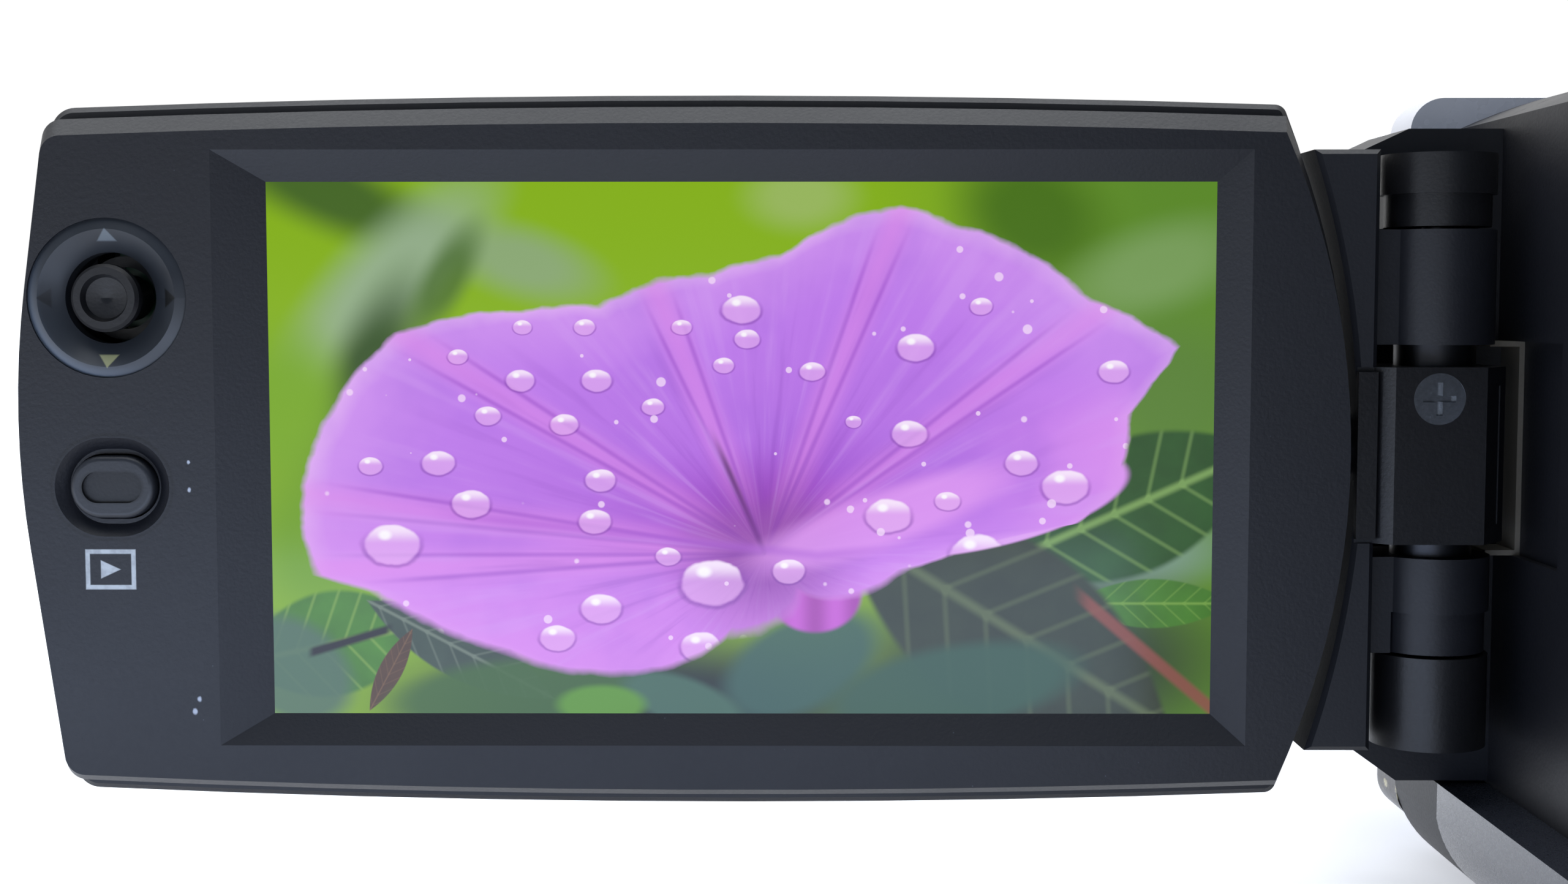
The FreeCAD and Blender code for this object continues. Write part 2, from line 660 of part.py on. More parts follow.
# ================================================= viewing panel
def corner_arc(at, before, after, r):
    """Start, middle and end of the arc that rounds a corner between its two neighbours."""
    at = V(at[0], 0, at[1])
    u = (V(before[0], 0, before[1]) - at).normalize()
    v = (V(after[0], 0, after[1]) - at).normalize()
    half = u.getAngle(v) / 2
    middle = at + (u + v).normalize() * (r / math.sin(half) - r)
    return [(p.x, p.z) for p in (at + u * (r / math.tan(half)), middle, at + v * (r / math.tan(half)))]


def panel_face(top=0.0, bottom=0.0, hinge_end=0.0, far_end=0.0, corner=PANEL_CORNER):
    """The panel's outline, pulled in by the given amounts, with its two far corners rounded."""
    mid = TILT_Z - PANEL_DROP
    high = mid + PANEL_HALF - top
    low = mid - PANEL_HALF + bottom
    left = PANEL_LEFT + far_end
    right = PANEL_RIGHT - hinge_end
    crown = TILT_Z + GRIP_Z
    slope = GRIP_REACH / GRIP_R
    swell = GRIP_R - math.sqrt(GRIP_R ** 2 - GRIP_REACH ** 2)
    top_left = (left + swell + slope * (high - 0.85 - crown - GRIP_REACH), high - 0.85)
    bottom_left = (left + swell + slope * (crown - GRIP_REACH - low - 0.95), low + 0.95)
    grip_low = (left + swell, crown - GRIP_REACH)
    grip_high = (left + swell, crown + GRIP_REACH)
    upper = corner_arc(top_left, grip_high, (top_left[0] + 10, top_left[1] + 0.3), corner)
    lower = corner_arc(bottom_left, (bottom_left[0] + 10, bottom_left[1] - 0.3), grip_low, corner)
    return outline(upper[2], [
        ((-66, high - 0.05), (right - RIGHT_BOW, high - 0.65)),
        ((right, TILT_Z), (right - RIGHT_BOW, low + 0.65)),
        ((-60, low), lower[0]),
        (lower[1], lower[2]),
        grip_low,
        ((left, crown), grip_high),
        upper[0],
        (upper[1], upper[2])])


def bezel_face(slope=0.0):
    """The bezel leaves a rim above and below it; slope is 0 at its sides and 1 at its front."""
    top = BEZEL_INSET + BEZEL_CHAMFER * slope
    bottom = BEZEL_INSET + BEZEL_CHAMFER * 0.5 * slope
    return panel_face(top, bottom, END_GAP + 0.2 * slope, 0.35 * slope, 1.3)


def panel_block(wall, y0, y1, corner):
    return round_along(along_y(panel_face(wall, wall, wall, wall + 1.0, corner), y0, y1), corner, V(0, 1, 0))


def lcd_back_cover():
    y0 = PANEL_FRONT + RIM_DEPTH
    y1 = PANEL_FRONT + PANEL_THICK
    shell = round_along(along_y(panel_face(), y0, y1), PANEL_HINGE_CORNER, V(0, 1, 0))
    shell = shell.makeFillet(2.6, rim_edges(shell, y1))
    shell = shell.makeChamfer(0.35, rim_edges(shell, y0))
    well = panel_block(1.2, y0 - 1, y1 - 1.4, 0.8)
    core = well.common(box(-106.5, -29.5, y0 - 1, y1 - 1.4, TILT_Z - 19, TILT_Z + 19))
    tools = [core, panel_block(1.2, y0 - 1, y0 + 1.4, 0.8), along_y(bezel_face(), y0 - 1, y0 + 1.4)]
    tools.append(rod_x(SHAFT_R, -40, -20, SWING_Y, TILT_Z))
    tools.append(rod_y(DISH_R, y0 - 1, STICK_Y + 1.4, STICK_X, STICK_Z))
    tools += [rod_y(1.6, y1 - 0.8, y1 + 1, x, z) for x, z in PANEL_SCREWS]
    tools += [rod_y(0.7, y0, y1, x, z) for x, z in PANEL_SCREWS]
    for tool in tools:
        shell = shell.cut(tool)
    return shell


PANEL_SCREWS = [(x, z) for z in (TILT_Z - 20.4, TILT_Z + 20.2) for x in (-100.0, -36.0)]


def lcd_screws():
    y1 = PANEL_FRONT + PANEL_THICK
    screws = []
    for x, z in PANEL_SCREWS:
        head = rod_y(1.5, y1 - 0.8, y1 - 0.1, x, z).cut(cross_slots(x, z, y1 - 0.5, y1, 0.9, 0.18))
        screws.append(head.fuse(rod_y(0.7, PANEL_FRONT + RIM_DEPTH + 1.4, y1 - 0.8, x, z)).removeSplitter())
    return Part.makeCompound(screws)


def stadium(w, h, x, z, y0, y1):
    r = h / 2
    reach = (w - h) / 2
    return fuse([box(x - reach, x + reach, y0, y1, z - r, z + r), rod_y(r, y0, y1, x - reach, z),
                 rod_y(r, y0, y1, x + reach, z)])


def dished_stadium(w, h, x, z, y, depth):
    """Sloped recess: three stadium steps cut as cones at the ends."""
    r = h / 2
    reach = (w - h) / 2
    cones = [Part.makeCone(r, r - depth, depth, V(x + s * reach, y, z), V(0, 1, 0)) for s in (-1, 1)]
    side = [(y, z - r), (y, z + r), (y + depth, z + r - depth), (y + depth, z - r + depth), (y, z - r)]
    wedge = Part.makePolygon([V(x - reach, b, c) for b, c in side])
    middle = Part.Face(wedge).extrude(V(2 * reach, 0, 0))
    return fuse(cones + [middle])


def lcd_bezel():
    y0 = PANEL_FRONT
    y1 = PANEL_FRONT + RIM_DEPTH + 1.4
    side = bezel_face().OuterWire
    top = bezel_face(1.0).OuterWire
    side.translate(V(0, y0 + BEZEL_CHAMFER, 0))
    top.translate(V(0, y0, 0))
    slope = Part.makeLoft([top, side], True, True)
    plate = round_along(along_y(bezel_face(), y0 + BEZEL_CHAMFER, y1), 0.5, V(0, 1, 0))
    flange = panel_block(1.2, y1 - 0.8, y1, 0.8)
    plate = fuse([plate, flange, slope])
    depth = BEVEL_DEPTH
    bevel = Part.makeLoft([frame_wire(BEVEL, y0), frame_wire(SCREEN, y0 + depth)], True)
    x0, x1, z0, z1 = SCREEN
    tools = [bevel, box(x0, x1, y0, y1 + 1, z0, z1)]
    tools.append(box(x0 - 1.6, x1 + 1.0, y0 + depth + 0.9, y1 + 1, z0 - 1.6, z1 + 1.6))
    tools.append(rod_y(5.05, y0 - 1, y1 + 1, STICK_X, STICK_Z))
    tools.append(dished_stadium(7.3, 6.3, BUTTON_X, BUTTON_Z, y0, 0.75))
    tools.append(stadium(5.6, 4.2, BUTTON_X, BUTTON_Z, y0 - 1, y1 + 1))
    tools.append(rod_x(SHAFT_R, -34, -20, SWING_Y, TILT_Z))
    return plate.cut(tools)


def display_cell():
    x0, x1, z0, z1 = SCREEN
    y = PANEL_FRONT + BEVEL_DEPTH
    border = box(x0 - 1.4, x1 + 0.8, y + 0.9, y + 1.7, z0 - 1.4, z1 + 1.4)
    return fuse([box(x0, x1, y, y + 1.0, z0, z1), border])


def display_backlight():
    x0, x1, z0, z1 = SCREEN
    y = PANEL_FRONT + BEVEL_DEPTH + 1.7
    return box(x0 - 1.0, x1 + 0.4, y, y + 1.4, z0 - 1.0, z1 + 1.0)


def display_frame():
    x0, x1, z0, z1 = SCREEN
    y = PANEL_FRONT + BEVEL_DEPTH + 1.7
    tray = box(x0 - 1.4, x1 + 0.8, y, y + 1.7, z0 - 1.4, z1 + 1.4)
    return tray.cut(box(x0 - 1.0, x1 + 0.4, y - 1, y + 1.4, z0 - 1.0, z1 + 1.0))


def panel_board():
    y = PANEL_FRONT + BEVEL_DEPTH + 3.4
    board = box(-105.2, -40.0, y + 1.6, y + 2.4, TILT_Z - 18.9, TILT_Z + 18.9)
    posts = [box(x, x + 2, y, y + 1.6, z, z + 2) for x in (-92, -60, -46) for z in (TILT_Z - 15, TILT_Z + 13)]
    chips = [box(-70, -58, y + 2.4, y + 3.4, TILT_Z - 6, TILT_Z + 4)]
    chips.append(box(-88, -80, y + 2.4, y + 3.4, TILT_Z, TILT_Z + 8))
    board = fuse([board] + posts + chips)
    return board.cut([box(-52, -30, 0, 60, TILT_Z - 4.5, TILT_Z + 4.5)])


def tilt_shaft():
    shaft = rod_x(SHAFT_R, -33.0, -21.0, SWING_Y, TILT_Z)
    plate = box(-44.0, -29.7, SWING_Y + 1.0, PANEL_FRONT + PANEL_THICK - 1.4, TILT_Z - 4.0, TILT_Z + 4.0)
    return fuse([shaft, plate])


# ================================================= panel controls
DISH_R = 5.05
WELL_R = 2.9


def joystick_ring():
    y = PANEL_FRONT
    points = [(WELL_R, y + 0.9), (DISH_R - 0.7, y - 0.1), (DISH_R, y + 0.2), (DISH_R, y + 4.2)]
    points += [(3.4, y + 4.2), (3.4, y + 2.0), (WELL_R, y + 2.0)]
    ring = turned_y(points, STICK_X, STICK_Z)
    floor = rod_y(DISH_R, y + 6.6, y + 7.2, STICK_X, STICK_Z)
    wall = rod_y(DISH_R, y + 4.2, y + 6.6, STICK_X, STICK_Z).cut(rod_y(3.4, y, y + 8, STICK_X, STICK_Z))
    return fuse([ring, wall, floor]).cut(box(-200, 200, y + 5.1, y + 9, -10, 90))


def joystick_gimbal():
    y = STICK_Y
    ring = rod_y(2.7, y - 0.5, y + 0.5, STICK_X, STICK_Z).cut(rod_y(2.0, y - 2, y + 2, STICK_X, STICK_Z))
    return ring


def joystick_rocker():
    y = STICK_Y
    hub = rod_y(1.5, y - 2.0, y + 0.6, STICK_X, STICK_Z)
    return hub.cut(rod_y(0.8 + RUN, y - 3, y - 0.4, STICK_X, STICK_Z))


def joystick_cap():
    y = PANEL_FRONT
    points = [(0, y + 0.7), (0, y + 0.2), (1.3, y + 0.05), (1.5, y - 0.45), (1.95, y - 0.45), (2.15, y - 0.2)]
    points += [(2.15, y + 0.5), (1.5, y + 0.9), (0.8, y + 0.9), (0.8, y + 2.9), (0, y + 2.9)]
    cap = turned_y(points, STICK_X, STICK_Z)
    return cap


def play_button():
    y = PANEL_FRONT
    button = stadium(5.4, 4.0, BUTTON_X, BUTTON_Z, y - 0.1, y + 2.6)
    button = button.makeFillet(0.35, rim_edges(button, y - 0.1))
    return button.cut(stadium(3.8, 2.0, BUTTON_X, BUTTON_Z, y - 1, y + 0.2))


PARTS = {
    "left_casing": left_casing(),
    "right_casing": right_casing(),
    "top_cover": top_cover(),
    "bottom_cover": bottom_cover(),
    "front_housing": front_housing(),
    "chrome_band": chrome_band(),
    "front_ring": front_ring(),
    "lens_bezel": lens_bezel(),
    "microphone_grille": microphone_grille(),
    "lamp_window": lamp_window(),
    "rear_cover": rear_cover(),
    "chassis_plate": chassis_plate(),
    "tripod_socket": tripod_socket(),
    "casing_screws": casing_screws(),
    "lens_tube": lens_tube(),
    "front_lens": front_lens(),
    "fixed_lens_group": fixed_lens_group(),
    "guide_shafts": guide_shafts(),
    "zoom_lens_carrier": lens_carrier(16.0, 6.0),
    "focus_lens_carrier": lens_carrier(2.0, 5.0),
    "sensor_block": sensor_block(),
    "main_board": main_board(),
    "upper_lens_blade": lens_blade(1),
    "lower_lens_blade": lens_blade(-1),
    "lens_cover_switch": lens_cover_switch(),
    "battery_pack": battery_pack(),
    "battery_latch": battery_latch(),
    "record_button": record_button(),
    "mode_dial": mode_dial(),
    "zoom_lever": zoom_lever(),
    "photo_button": photo_button(),
    "power_button": power_button(),
    "card_door": recess_door(CARD),
    "terminal_cover": recess_door(JACKS),
    "jack_block": jack_block(),
    "speaker_grille": speaker_grille(),
    "strap_bars": strap_bars(),
    "strap_webbing": strap_webbing(),
    "strap_pad": strap_pad(),
    "hinge_mount": hinge_mount(),
    "hinge_pin": hinge_pin(),
    "hinge_slot_trim": hinge_slot_trim(),
    "hinge_bracket": hinge_bracket(),
    "hinge_cover_front": hinge_cover(True),
    "hinge_cover_rear": hinge_cover(False),
    "hinge_block": hinge_block(),
    "hinge_screw": hinge_screw(),
    "lcd_bezel": lcd_bezel(),
    "lcd_back_cover": lcd_back_cover(),
    "display_cell": display_cell(),
    "display_backlight": display_backlight(),
    "display_frame": display_frame(),
    "panel_board": panel_board(),
    "tilt_shaft": tilt_shaft(),
    "lcd_screws": lcd_screws(),
    "joystick_ring": joystick_ring(),
    "joystick_gimbal": joystick_gimbal(),
    "joystick_rocker": joystick_rocker(),
    "joystick_cap": joystick_cap(),
    "play_button": play_button(),
}

for name, shape in PARTS.items():
    export(name, shape)
    print(name, shape.isValid(), len(shape.Solids), round(shape.Volume, 1))
print(len(PARTS))
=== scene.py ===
import math

import bmesh
import bpy
from mathutils import Matrix, Vector


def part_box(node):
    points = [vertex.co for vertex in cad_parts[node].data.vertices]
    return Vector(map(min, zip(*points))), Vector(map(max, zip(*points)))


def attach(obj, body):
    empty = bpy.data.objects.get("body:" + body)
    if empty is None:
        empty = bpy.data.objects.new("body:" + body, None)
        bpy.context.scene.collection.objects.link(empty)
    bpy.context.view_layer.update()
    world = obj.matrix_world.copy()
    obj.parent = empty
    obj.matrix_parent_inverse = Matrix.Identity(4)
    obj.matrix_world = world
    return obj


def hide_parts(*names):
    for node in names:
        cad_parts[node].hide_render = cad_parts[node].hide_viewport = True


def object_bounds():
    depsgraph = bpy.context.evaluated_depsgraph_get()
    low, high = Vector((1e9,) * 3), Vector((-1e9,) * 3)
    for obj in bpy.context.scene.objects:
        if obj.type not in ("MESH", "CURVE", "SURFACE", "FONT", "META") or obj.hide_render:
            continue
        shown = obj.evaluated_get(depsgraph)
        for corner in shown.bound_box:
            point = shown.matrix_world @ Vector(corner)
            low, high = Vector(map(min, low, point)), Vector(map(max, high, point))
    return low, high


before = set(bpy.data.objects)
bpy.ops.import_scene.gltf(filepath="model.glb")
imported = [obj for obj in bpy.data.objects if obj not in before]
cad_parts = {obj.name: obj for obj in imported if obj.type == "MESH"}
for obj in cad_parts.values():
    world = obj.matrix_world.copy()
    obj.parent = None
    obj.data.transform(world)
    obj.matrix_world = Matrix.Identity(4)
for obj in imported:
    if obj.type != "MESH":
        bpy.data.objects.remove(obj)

cad_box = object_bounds()
MM = 0.001
TAU = math.tau

# the panel's main places, from the CAD boxes
cell_low, cell_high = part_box("display_cell")
ring_low, ring_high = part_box("joystick_ring")
key_low, key_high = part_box("play_button")
bezel_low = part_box("lcd_bezel")[0]
STICK = ((ring_low.x + ring_high.x) / 2, (ring_low.z + ring_high.z) / 2)
KEY = ((key_low.x + key_high.x) / 2, (key_low.z + key_high.z) / 2)
LENS_Z = sum(c.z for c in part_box("front_ring")) / 2


# ---------------------------------------------------------------- shader expressions
class Value:
    """A number that varies over a surface. Plain arithmetic on it adds Math nodes."""

    def __init__(self, surface, socket):
        self.surface = surface
        self.socket = socket

    def math(self, operation, *others):
        return self.surface.node("ShaderNodeMath", {"operation": operation}, [self, *others])

    def __add__(self, other):
        return self.math("ADD", other)

    def __mul__(self, other):
        return self.math("MULTIPLY", other)

    def __sub__(self, other):
        return self.math("SUBTRACT", other)

    def __truediv__(self, other):
        return self.math("DIVIDE", other)

    def __rsub__(self, other):
        return self.surface.node("ShaderNodeMath", {"operation": "SUBTRACT"}, [other, self])

    def __neg__(self):
        return self * -1.0

    __radd__ = __add__
    __rmul__ = __mul__

    def abs(self):
        return self.math("ABSOLUTE")

    def sin(self):
        return self.math("SINE")

    def root(self):
        return self.math("SQRT")

    def fraction(self):
        return self.math("FRACT")

    def least(self, other):
        return self.math("MINIMUM", other)

    def most(self, other):
        return self.math("MAXIMUM", other)

    def ramp(self, low, high):
        """0 below low, 1 above high, smooth between."""
        return self.surface.node("ShaderNodeMapRange", {"interpolation_type": "SMOOTHSTEP"},
                                 {"Value": self, "From Min": low, "From Max": high})


class Surface:
    """One material under construction."""

    def __init__(self, name):
        self.material = bpy.data.materials.new(name)
        self.material.use_nodes = True
        self.tree = self.material.node_tree
        self.tree.nodes.clear()
        self.place = None

    def node(self, kind, settings=None, inputs=(), out=0):
        made = self.tree.nodes.new(kind)
        for key, value in (settings or {}).items():
            if key == "stops":
                self.set_stops(made, value)
            else:
                setattr(made, key, value)
        pairs = inputs.items() if isinstance(inputs, dict) else enumerate(inputs)
        for key, value in pairs:
            self.feed(made.inputs[key], value)
        return Value(self, made.outputs[out])

    def set_stops(self, made, stops):
        elements = made.color_ramp.elements
        while len(elements) > 1:
            elements.remove(elements[-1])
        for index, (place, colour) in enumerate(stops):
            stop = elements[0] if index == 0 else elements.new(place)
            stop.position = place
            stop.color = (*colour, 1.0) if len(colour) == 3 else colour

    def feed(self, socket, value):
        if isinstance(value, Value):
            self.tree.links.new(value.socket, socket)
        elif isinstance(value, (tuple, list)) and socket.type == "RGBA" and len(value) == 3:
            socket.default_value = (*value, 1.0)
        else:
            socket.default_value = value

    def coords(self):
        if self.place is None:
            self.place = self.node("ShaderNodeTexCoord", out=3)
        return self.place

    def xyz(self):
        split = self.node("ShaderNodeSeparateXYZ", {}, [self.coords()])
        outputs = split.socket.node.outputs
        return Value(self, outputs[0]), Value(self, outputs[1]), Value(self, outputs[2])

    def noise(self, size, detail=2.0, rough=0.5, where=None, out=0):
        """Noise whose blots are about size metres across."""
        return self.node("ShaderNodeTexNoise", {}, {"Vector": where or self.coords(), "Scale": 1.0 / size,
                                                    "Detail": detail, "Roughness": rough}, out)

    def mix(self, amount, a, b):
        return self.node("ShaderNodeMix", {"data_type": "RGBA"}, {0: amount, 6: a, 7: b}, 2)

    def bump(self, height, strength, distance):
        return self.node("ShaderNodeBump", {}, {"Strength": strength, "Distance": distance, "Height": height})

    def finish(self, **values):
        shader = self.tree.nodes.new("ShaderNodeBsdfPrincipled")
        for key, value in values.items():
            self.feed(shader.inputs[key.replace("_", " ")], value)
        output = self.tree.nodes.new("ShaderNodeOutputMaterial")
        self.tree.links.new(shader.outputs[0], output.inputs[0])
        return self.material


def srgb(r, g, b):
    """Linear colour of a paint swatch given in 0 to 255 steps."""
    def one(c):
        c /= 255.0
        return c / 12.92 if c <= 0.04045 else ((c + 0.055) / 1.055) ** 2.4
    return one(r), one(g), one(b)


# ---------------------------------------------------------------- finishes
def moulded(name, colour, roughness=0.42, grain=0.00022, depth=0.00003, speck=0.12, coat=0.0):
    """Spark-eroded moulded plastic: fine grain, faint mottling, a slightly polished touch."""
    s = Surface(name)
    fine = s.noise(grain, 2.0)
    broad = s.noise(0.012, 3.0)
    light = tuple(min(1.0, c * (1 + 2.2 * speck)) for c in colour)
    dark = tuple(c * (1 - speck) for c in colour)
    tone = s.mix(fine * 0.6 + broad * 0.4, dark, light)
    rough = (broad - 0.5) * 0.16 + (fine - 0.5) * 0.12 + roughness
    return s.finish(Base_Color=tone, Roughness=rough, Normal=s.bump(fine, 0.35, depth), Coat_Weight=coat,
                    Coat_Roughness=0.2, Specular_IOR_Level=0.36)


def metal(name, colour, roughness=0.25, brush=(1.0, 1.0, 1.0), scratch=0.1, size=0.0006):
    """Bare or plated metal with faint lines drawn out along one direction."""
    s = Surface(name)
    stretched = s.node("ShaderNodeMapping", {}, {"Vector": s.coords(), "Scale": brush})
    lines = s.noise(size, 3.0, 0.6, stretched)
    broad = s.noise(0.01, 2.0)
    tone = s.mix(lines, tuple(c * 0.86 for c in colour), tuple(min(1.0, c * 1.08) for c in colour))
    rough = (lines - 0.5) * scratch * 2 + (broad - 0.5) * 0.08 + roughness
    return s.finish(Base_Color=tone, Metallic=1.0, Roughness=rough, Normal=s.bump(lines, 0.15, 0.00002))


def silver_paint(name, colour, roughness):
    """Silver paint with a fine metallic flake."""
    s = Surface(name)
    flake = s.node("ShaderNodeTexVoronoi", {}, {"Vector": s.coords(), "Scale": 9000.0}, 1)
    bright = s.node("ShaderNodeSeparateXYZ", {}, [flake])
    broad = s.noise(0.02, 3.0)
    dark = tuple(c * 0.8 for c in colour)
    light = tuple(min(1.0, c * 1.25) for c in colour)
    tone = s.mix(bright * 0.7 + broad * 0.3, dark, light)
    return s.finish(Base_Color=tone, Metallic=0.55, Roughness=(bright - 0.5) * 0.15 + roughness,
                    Coat_Weight=0.25, Coat_Roughness=0.25)


def glass(name, tint, rim):
    """Coated lens glass: a dark clear body with a painted coloured sheen that shifts toward the rim."""
    s = Surface(name)
    x, y, z = s.xyz()
    out = ((x * x) + (z - LENS_Z) * (z - LENS_Z)).root()
    ring = out.ramp(0.0, 0.013)
    smear = s.noise(0.004, 3.0)
    # painted sheen: the base colour moves from the tint to the coating's sheen colour toward the rim
    tone = s.mix(ring, tint, rim)
    return s.finish(Base_Color=tone, Roughness=smear * 0.04 + 0.02, Coat_Weight=1.0, Coat_Roughness=0.03,
                    Specular_IOR_Level=0.9)


def circuit_board(name):
    """Green solder mask with copper tracks and gold pads."""
    s = Surface(name)
    x, y, z = s.xyz()
    cells = s.node("ShaderNodeTexVoronoi", {"distance": "CHEBYCHEV"},
                   {"Vector": s.coords(), "Scale": 500.0}, 0)
    tracks = ((x * 900.0).fraction() - 0.5).abs().ramp(0.32, 0.40) * (z * 260.0).sin().ramp(0.1, 0.4)
    pads = 1 - cells.ramp(0.12, 0.16)
    tone = s.mix(tracks, (0.010, 0.075, 0.035), (0.02, 0.13, 0.06))
    tone = s.mix(pads * 0.8, tone, (0.72, 0.62, 0.36))
    return s.finish(Base_Color=tone, Roughness=0.35, Normal=s.bump(tracks + pads, 0.4, 0.00005))


def webbing(name, colour):
    """Woven nylon tape: ribs along its length crossed by a tight weft."""
    s = Surface(name)
    x, y, z = s.xyz()
    warp = ((z * (TAU / 0.0011)).sin() * 0.5 + 0.5)
    weft = (((y + x * 0.35) * (TAU / 0.0008)).sin() * 0.5 + 0.5)
    weave = warp * weft * 0.7 + s.noise(0.0002, 2.0) * 0.3
    fuzz = s.noise(0.006, 3.0)
    tone = s.mix(weave * 0.7 + fuzz * 0.3, tuple(c * 0.45 for c in colour), tuple(c * 1.7 for c in colour))
    return s.finish(Base_Color=tone, Roughness=(weave - 0.5) * 0.1 + 0.85, Normal=s.bump(weave, 0.8, 0.00025),
                    Sheen_Weight=0.25, Sheen_Roughness=0.4)


def pad_cloth(name, colour):
    """Knitted mesh cloth over foam."""
    s = Surface(name)
    x, y, z = s.xyz()
    a = ((z + y * 0.5) * (TAU / 0.0018)).sin()
    b = ((z - y * 0.5) * (TAU / 0.0018)).sin()
    knit = (a * b) * 0.5 + 0.5
    fuzz = s.noise(0.0004, 2.0)
    tone = s.mix(knit * 0.6 + fuzz * 0.4, tuple(c * 0.4 for c in colour), tuple(c * 1.9 for c in colour))
    nap = s.bump(knit * 0.8 + fuzz * 0.2, 0.7, 0.0003)
    return s.finish(Base_Color=tone, Roughness=(fuzz - 0.5) * 0.1 + 0.9, Normal=nap, Sheen_Weight=0.3,
                    Sheen_Roughness=0.5)


CHARCOAL = srgb(17, 18, 23)
SOOT = srgb(14, 14, 16)
INK = srgb(8, 8, 11)


# ---------------------------------------------------------------- marks printed on the panel
def box_mask(u, v, half_u, half_v, soft):
    """1 inside a rectangle about the origin."""
    return 1 - ((u.abs() - half_u).most(v.abs() - half_v)).ramp(-soft, soft)


def triangle_mask(u, v, half, reach, soft):
    """1 inside a triangle of base 2 x half that points along +u."""
    side = v.abs() - (reach * 0.5 - u) * (half / reach)
    back = -(u + reach * 0.5)
    return 1 - side.most(back).ramp(-soft, soft)


def bezel_finish():
    """Charcoal plastic with the play mark, painted shade in the groove round the key and a few specks of
    dust.
    """
    s = Surface("bezel_plastic")
    x, y, z = s.xyz()
    fine = s.noise(0.00022, 2.0)
    broad = s.noise(0.015, 3.0)
    dark = tuple(c * 0.8 for c in CHARCOAL)
    light = tuple(c * 1.25 for c in CHARCOAL)
    tone = s.mix(fine * 0.6 + broad * 0.4, dark, light)
    u = x - (KEY[0] - 0.2 * MM)
    v = z - (KEY[1] - 5.25 * MM)
    soft = 0.04 * MM
    frame_line = box_mask(u, v, 1.6 * MM, 1.28 * MM, soft) - box_mask(u, v, 1.32 * MM, 1.0 * MM, soft)
    arrow = triangle_mask(u, v, 0.58 * MM, 1.25 * MM, soft)
    front = (bezel_low.y + 0.4 * MM - y).ramp(0.0, 0.1 * MM)
    worn = s.noise(0.0005, 2.0).ramp(0.25, 0.6) * 0.25 + 0.75
    ink = (frame_line + arrow).least(1.0) * front * worn
    # painted shade: a dark ring along the groove round the key
    groove_u = (x - KEY[0]).abs() - 0.5 * MM
    ring = ((groove_u.most(0.0) * groove_u.most(0.0) + (z - KEY[1]) * (z - KEY[1])).root() - 3.35 * MM).abs()
    shade = (1 - ring.ramp(0.0, 0.16 * MM)) * 0.75
    tone = s.mix(shade, tone, srgb(5, 5, 7))
    tone = s.mix(ink, tone, srgb(160, 165, 168))
    flecks = [(4.9, 1.6, 0.14), (4.9, -0.15, 0.16), (5.3, -13.6, 0.2), (5.0, -14.4, 0.24), (1.0, 13.2, 0.1)]
    lint = s.node("ShaderNodeTexVoronoi", {}, {"Vector": s.coords(), "Scale": 420.0}, 0)
    for right, up, size in flecks:
        off_u = x - (KEY[0] + right * MM)
        off_v = z - (KEY[1] + up * MM)
        away = (off_u * off_u + off_v * off_v * 0.6).root() + (fine - 0.5) * 0.1 * MM
        tone = s.mix((1 - away.ramp(size * 0.35 * MM, size * 0.9 * MM)) * 0.8, tone, srgb(170, 176, 188))
    tone = s.mix((1 - lint.ramp(0.010, 0.024)) * 0.22, tone, srgb(110, 116, 128))
    rough = (broad - 0.5) * 0.12 + (fine - 0.5) * 0.12 + 0.5 - ink * 0.1
    return s.finish(Base_Color=tone, Roughness=rough, Specular_IOR_Level=0.34,
                    Normal=s.bump(fine, 0.4, 0.00004))


def key_finish():
    """Play key: a paler rim round a dish darkened with painted shade."""
    s = Surface("play_key_plastic")
    x, y, z = s.xyz()
    off_u = ((x - KEY[0]).abs() - 1.0 * MM).most(0.0)
    off_v = z - KEY[1]
    out = (off_u * off_u + off_v * off_v).root()
    fine = s.noise(0.0002, 2.0)
    rim = out.ramp(0.9 * MM, 1.15 * MM)
    # the dish inside the rim is painted darker: painted shade in the key's recess
    tone = s.mix(rim * 0.8 + fine * 0.2, srgb(9, 10, 13), srgb(27, 29, 34))
    return s.finish(Base_Color=tone, Roughness=0.48 - rim * 0.1 + fine * 0.1, Specular_IOR_Level=0.4,
                    Normal=s.bump(fine, 0.3, 0.00003))


def dish_finish():
    """Smoky translucent ring around the stick with four arrow marks, lighter toward the lower left with a
    painted highlight along its rim there.
    """
    s = Surface("smoky_dish")
    x, y, z = s.xyz()
    u = x - STICK[0]
    v = z - STICK[1]
    out = (u * u + v * v).root()
    broad = s.noise(0.004, 3.0)
    # painted light: the ring is lighter toward the lower left
    lit_lower_left = (-(u + v)).ramp(0.0, 7.0 * MM)
    rim = out.ramp(4.1 * MM, 4.9 * MM)
    tone = s.mix(broad * 0.7 + lit_lower_left * 0.3, srgb(20, 22, 25), srgb(46, 50, 56))
    # painted highlight: a pale bluish rim at the lower left
    tone = s.mix(rim * lit_lower_left * 0.35, tone, srgb(96, 108, 124))
    soft = 0.06 * MM
    marks = []
    for turn in range(4):
        c = math.cos(turn * TAU / 4)
        n = math.sin(turn * TAU / 4)
        along = u * c + v * n - 4.0 * MM
        across = v * c - u * n
        marks.append(triangle_mask(along, across, 0.62 * MM, 0.8 * MM, soft))
    tone = s.mix(marks[0], tone, srgb(8, 9, 10))
    tone = s.mix(marks[2] * 0.7, tone, srgb(12, 13, 15))
    tone = s.mix(marks[1] * 0.6, tone, srgb(104, 112, 118))
    tone = s.mix(marks[3] * 0.85, tone, srgb(150, 150, 108))
    return s.finish(Base_Color=tone, Roughness=broad * 0.2 + 0.3, Specular_IOR_Level=0.4)


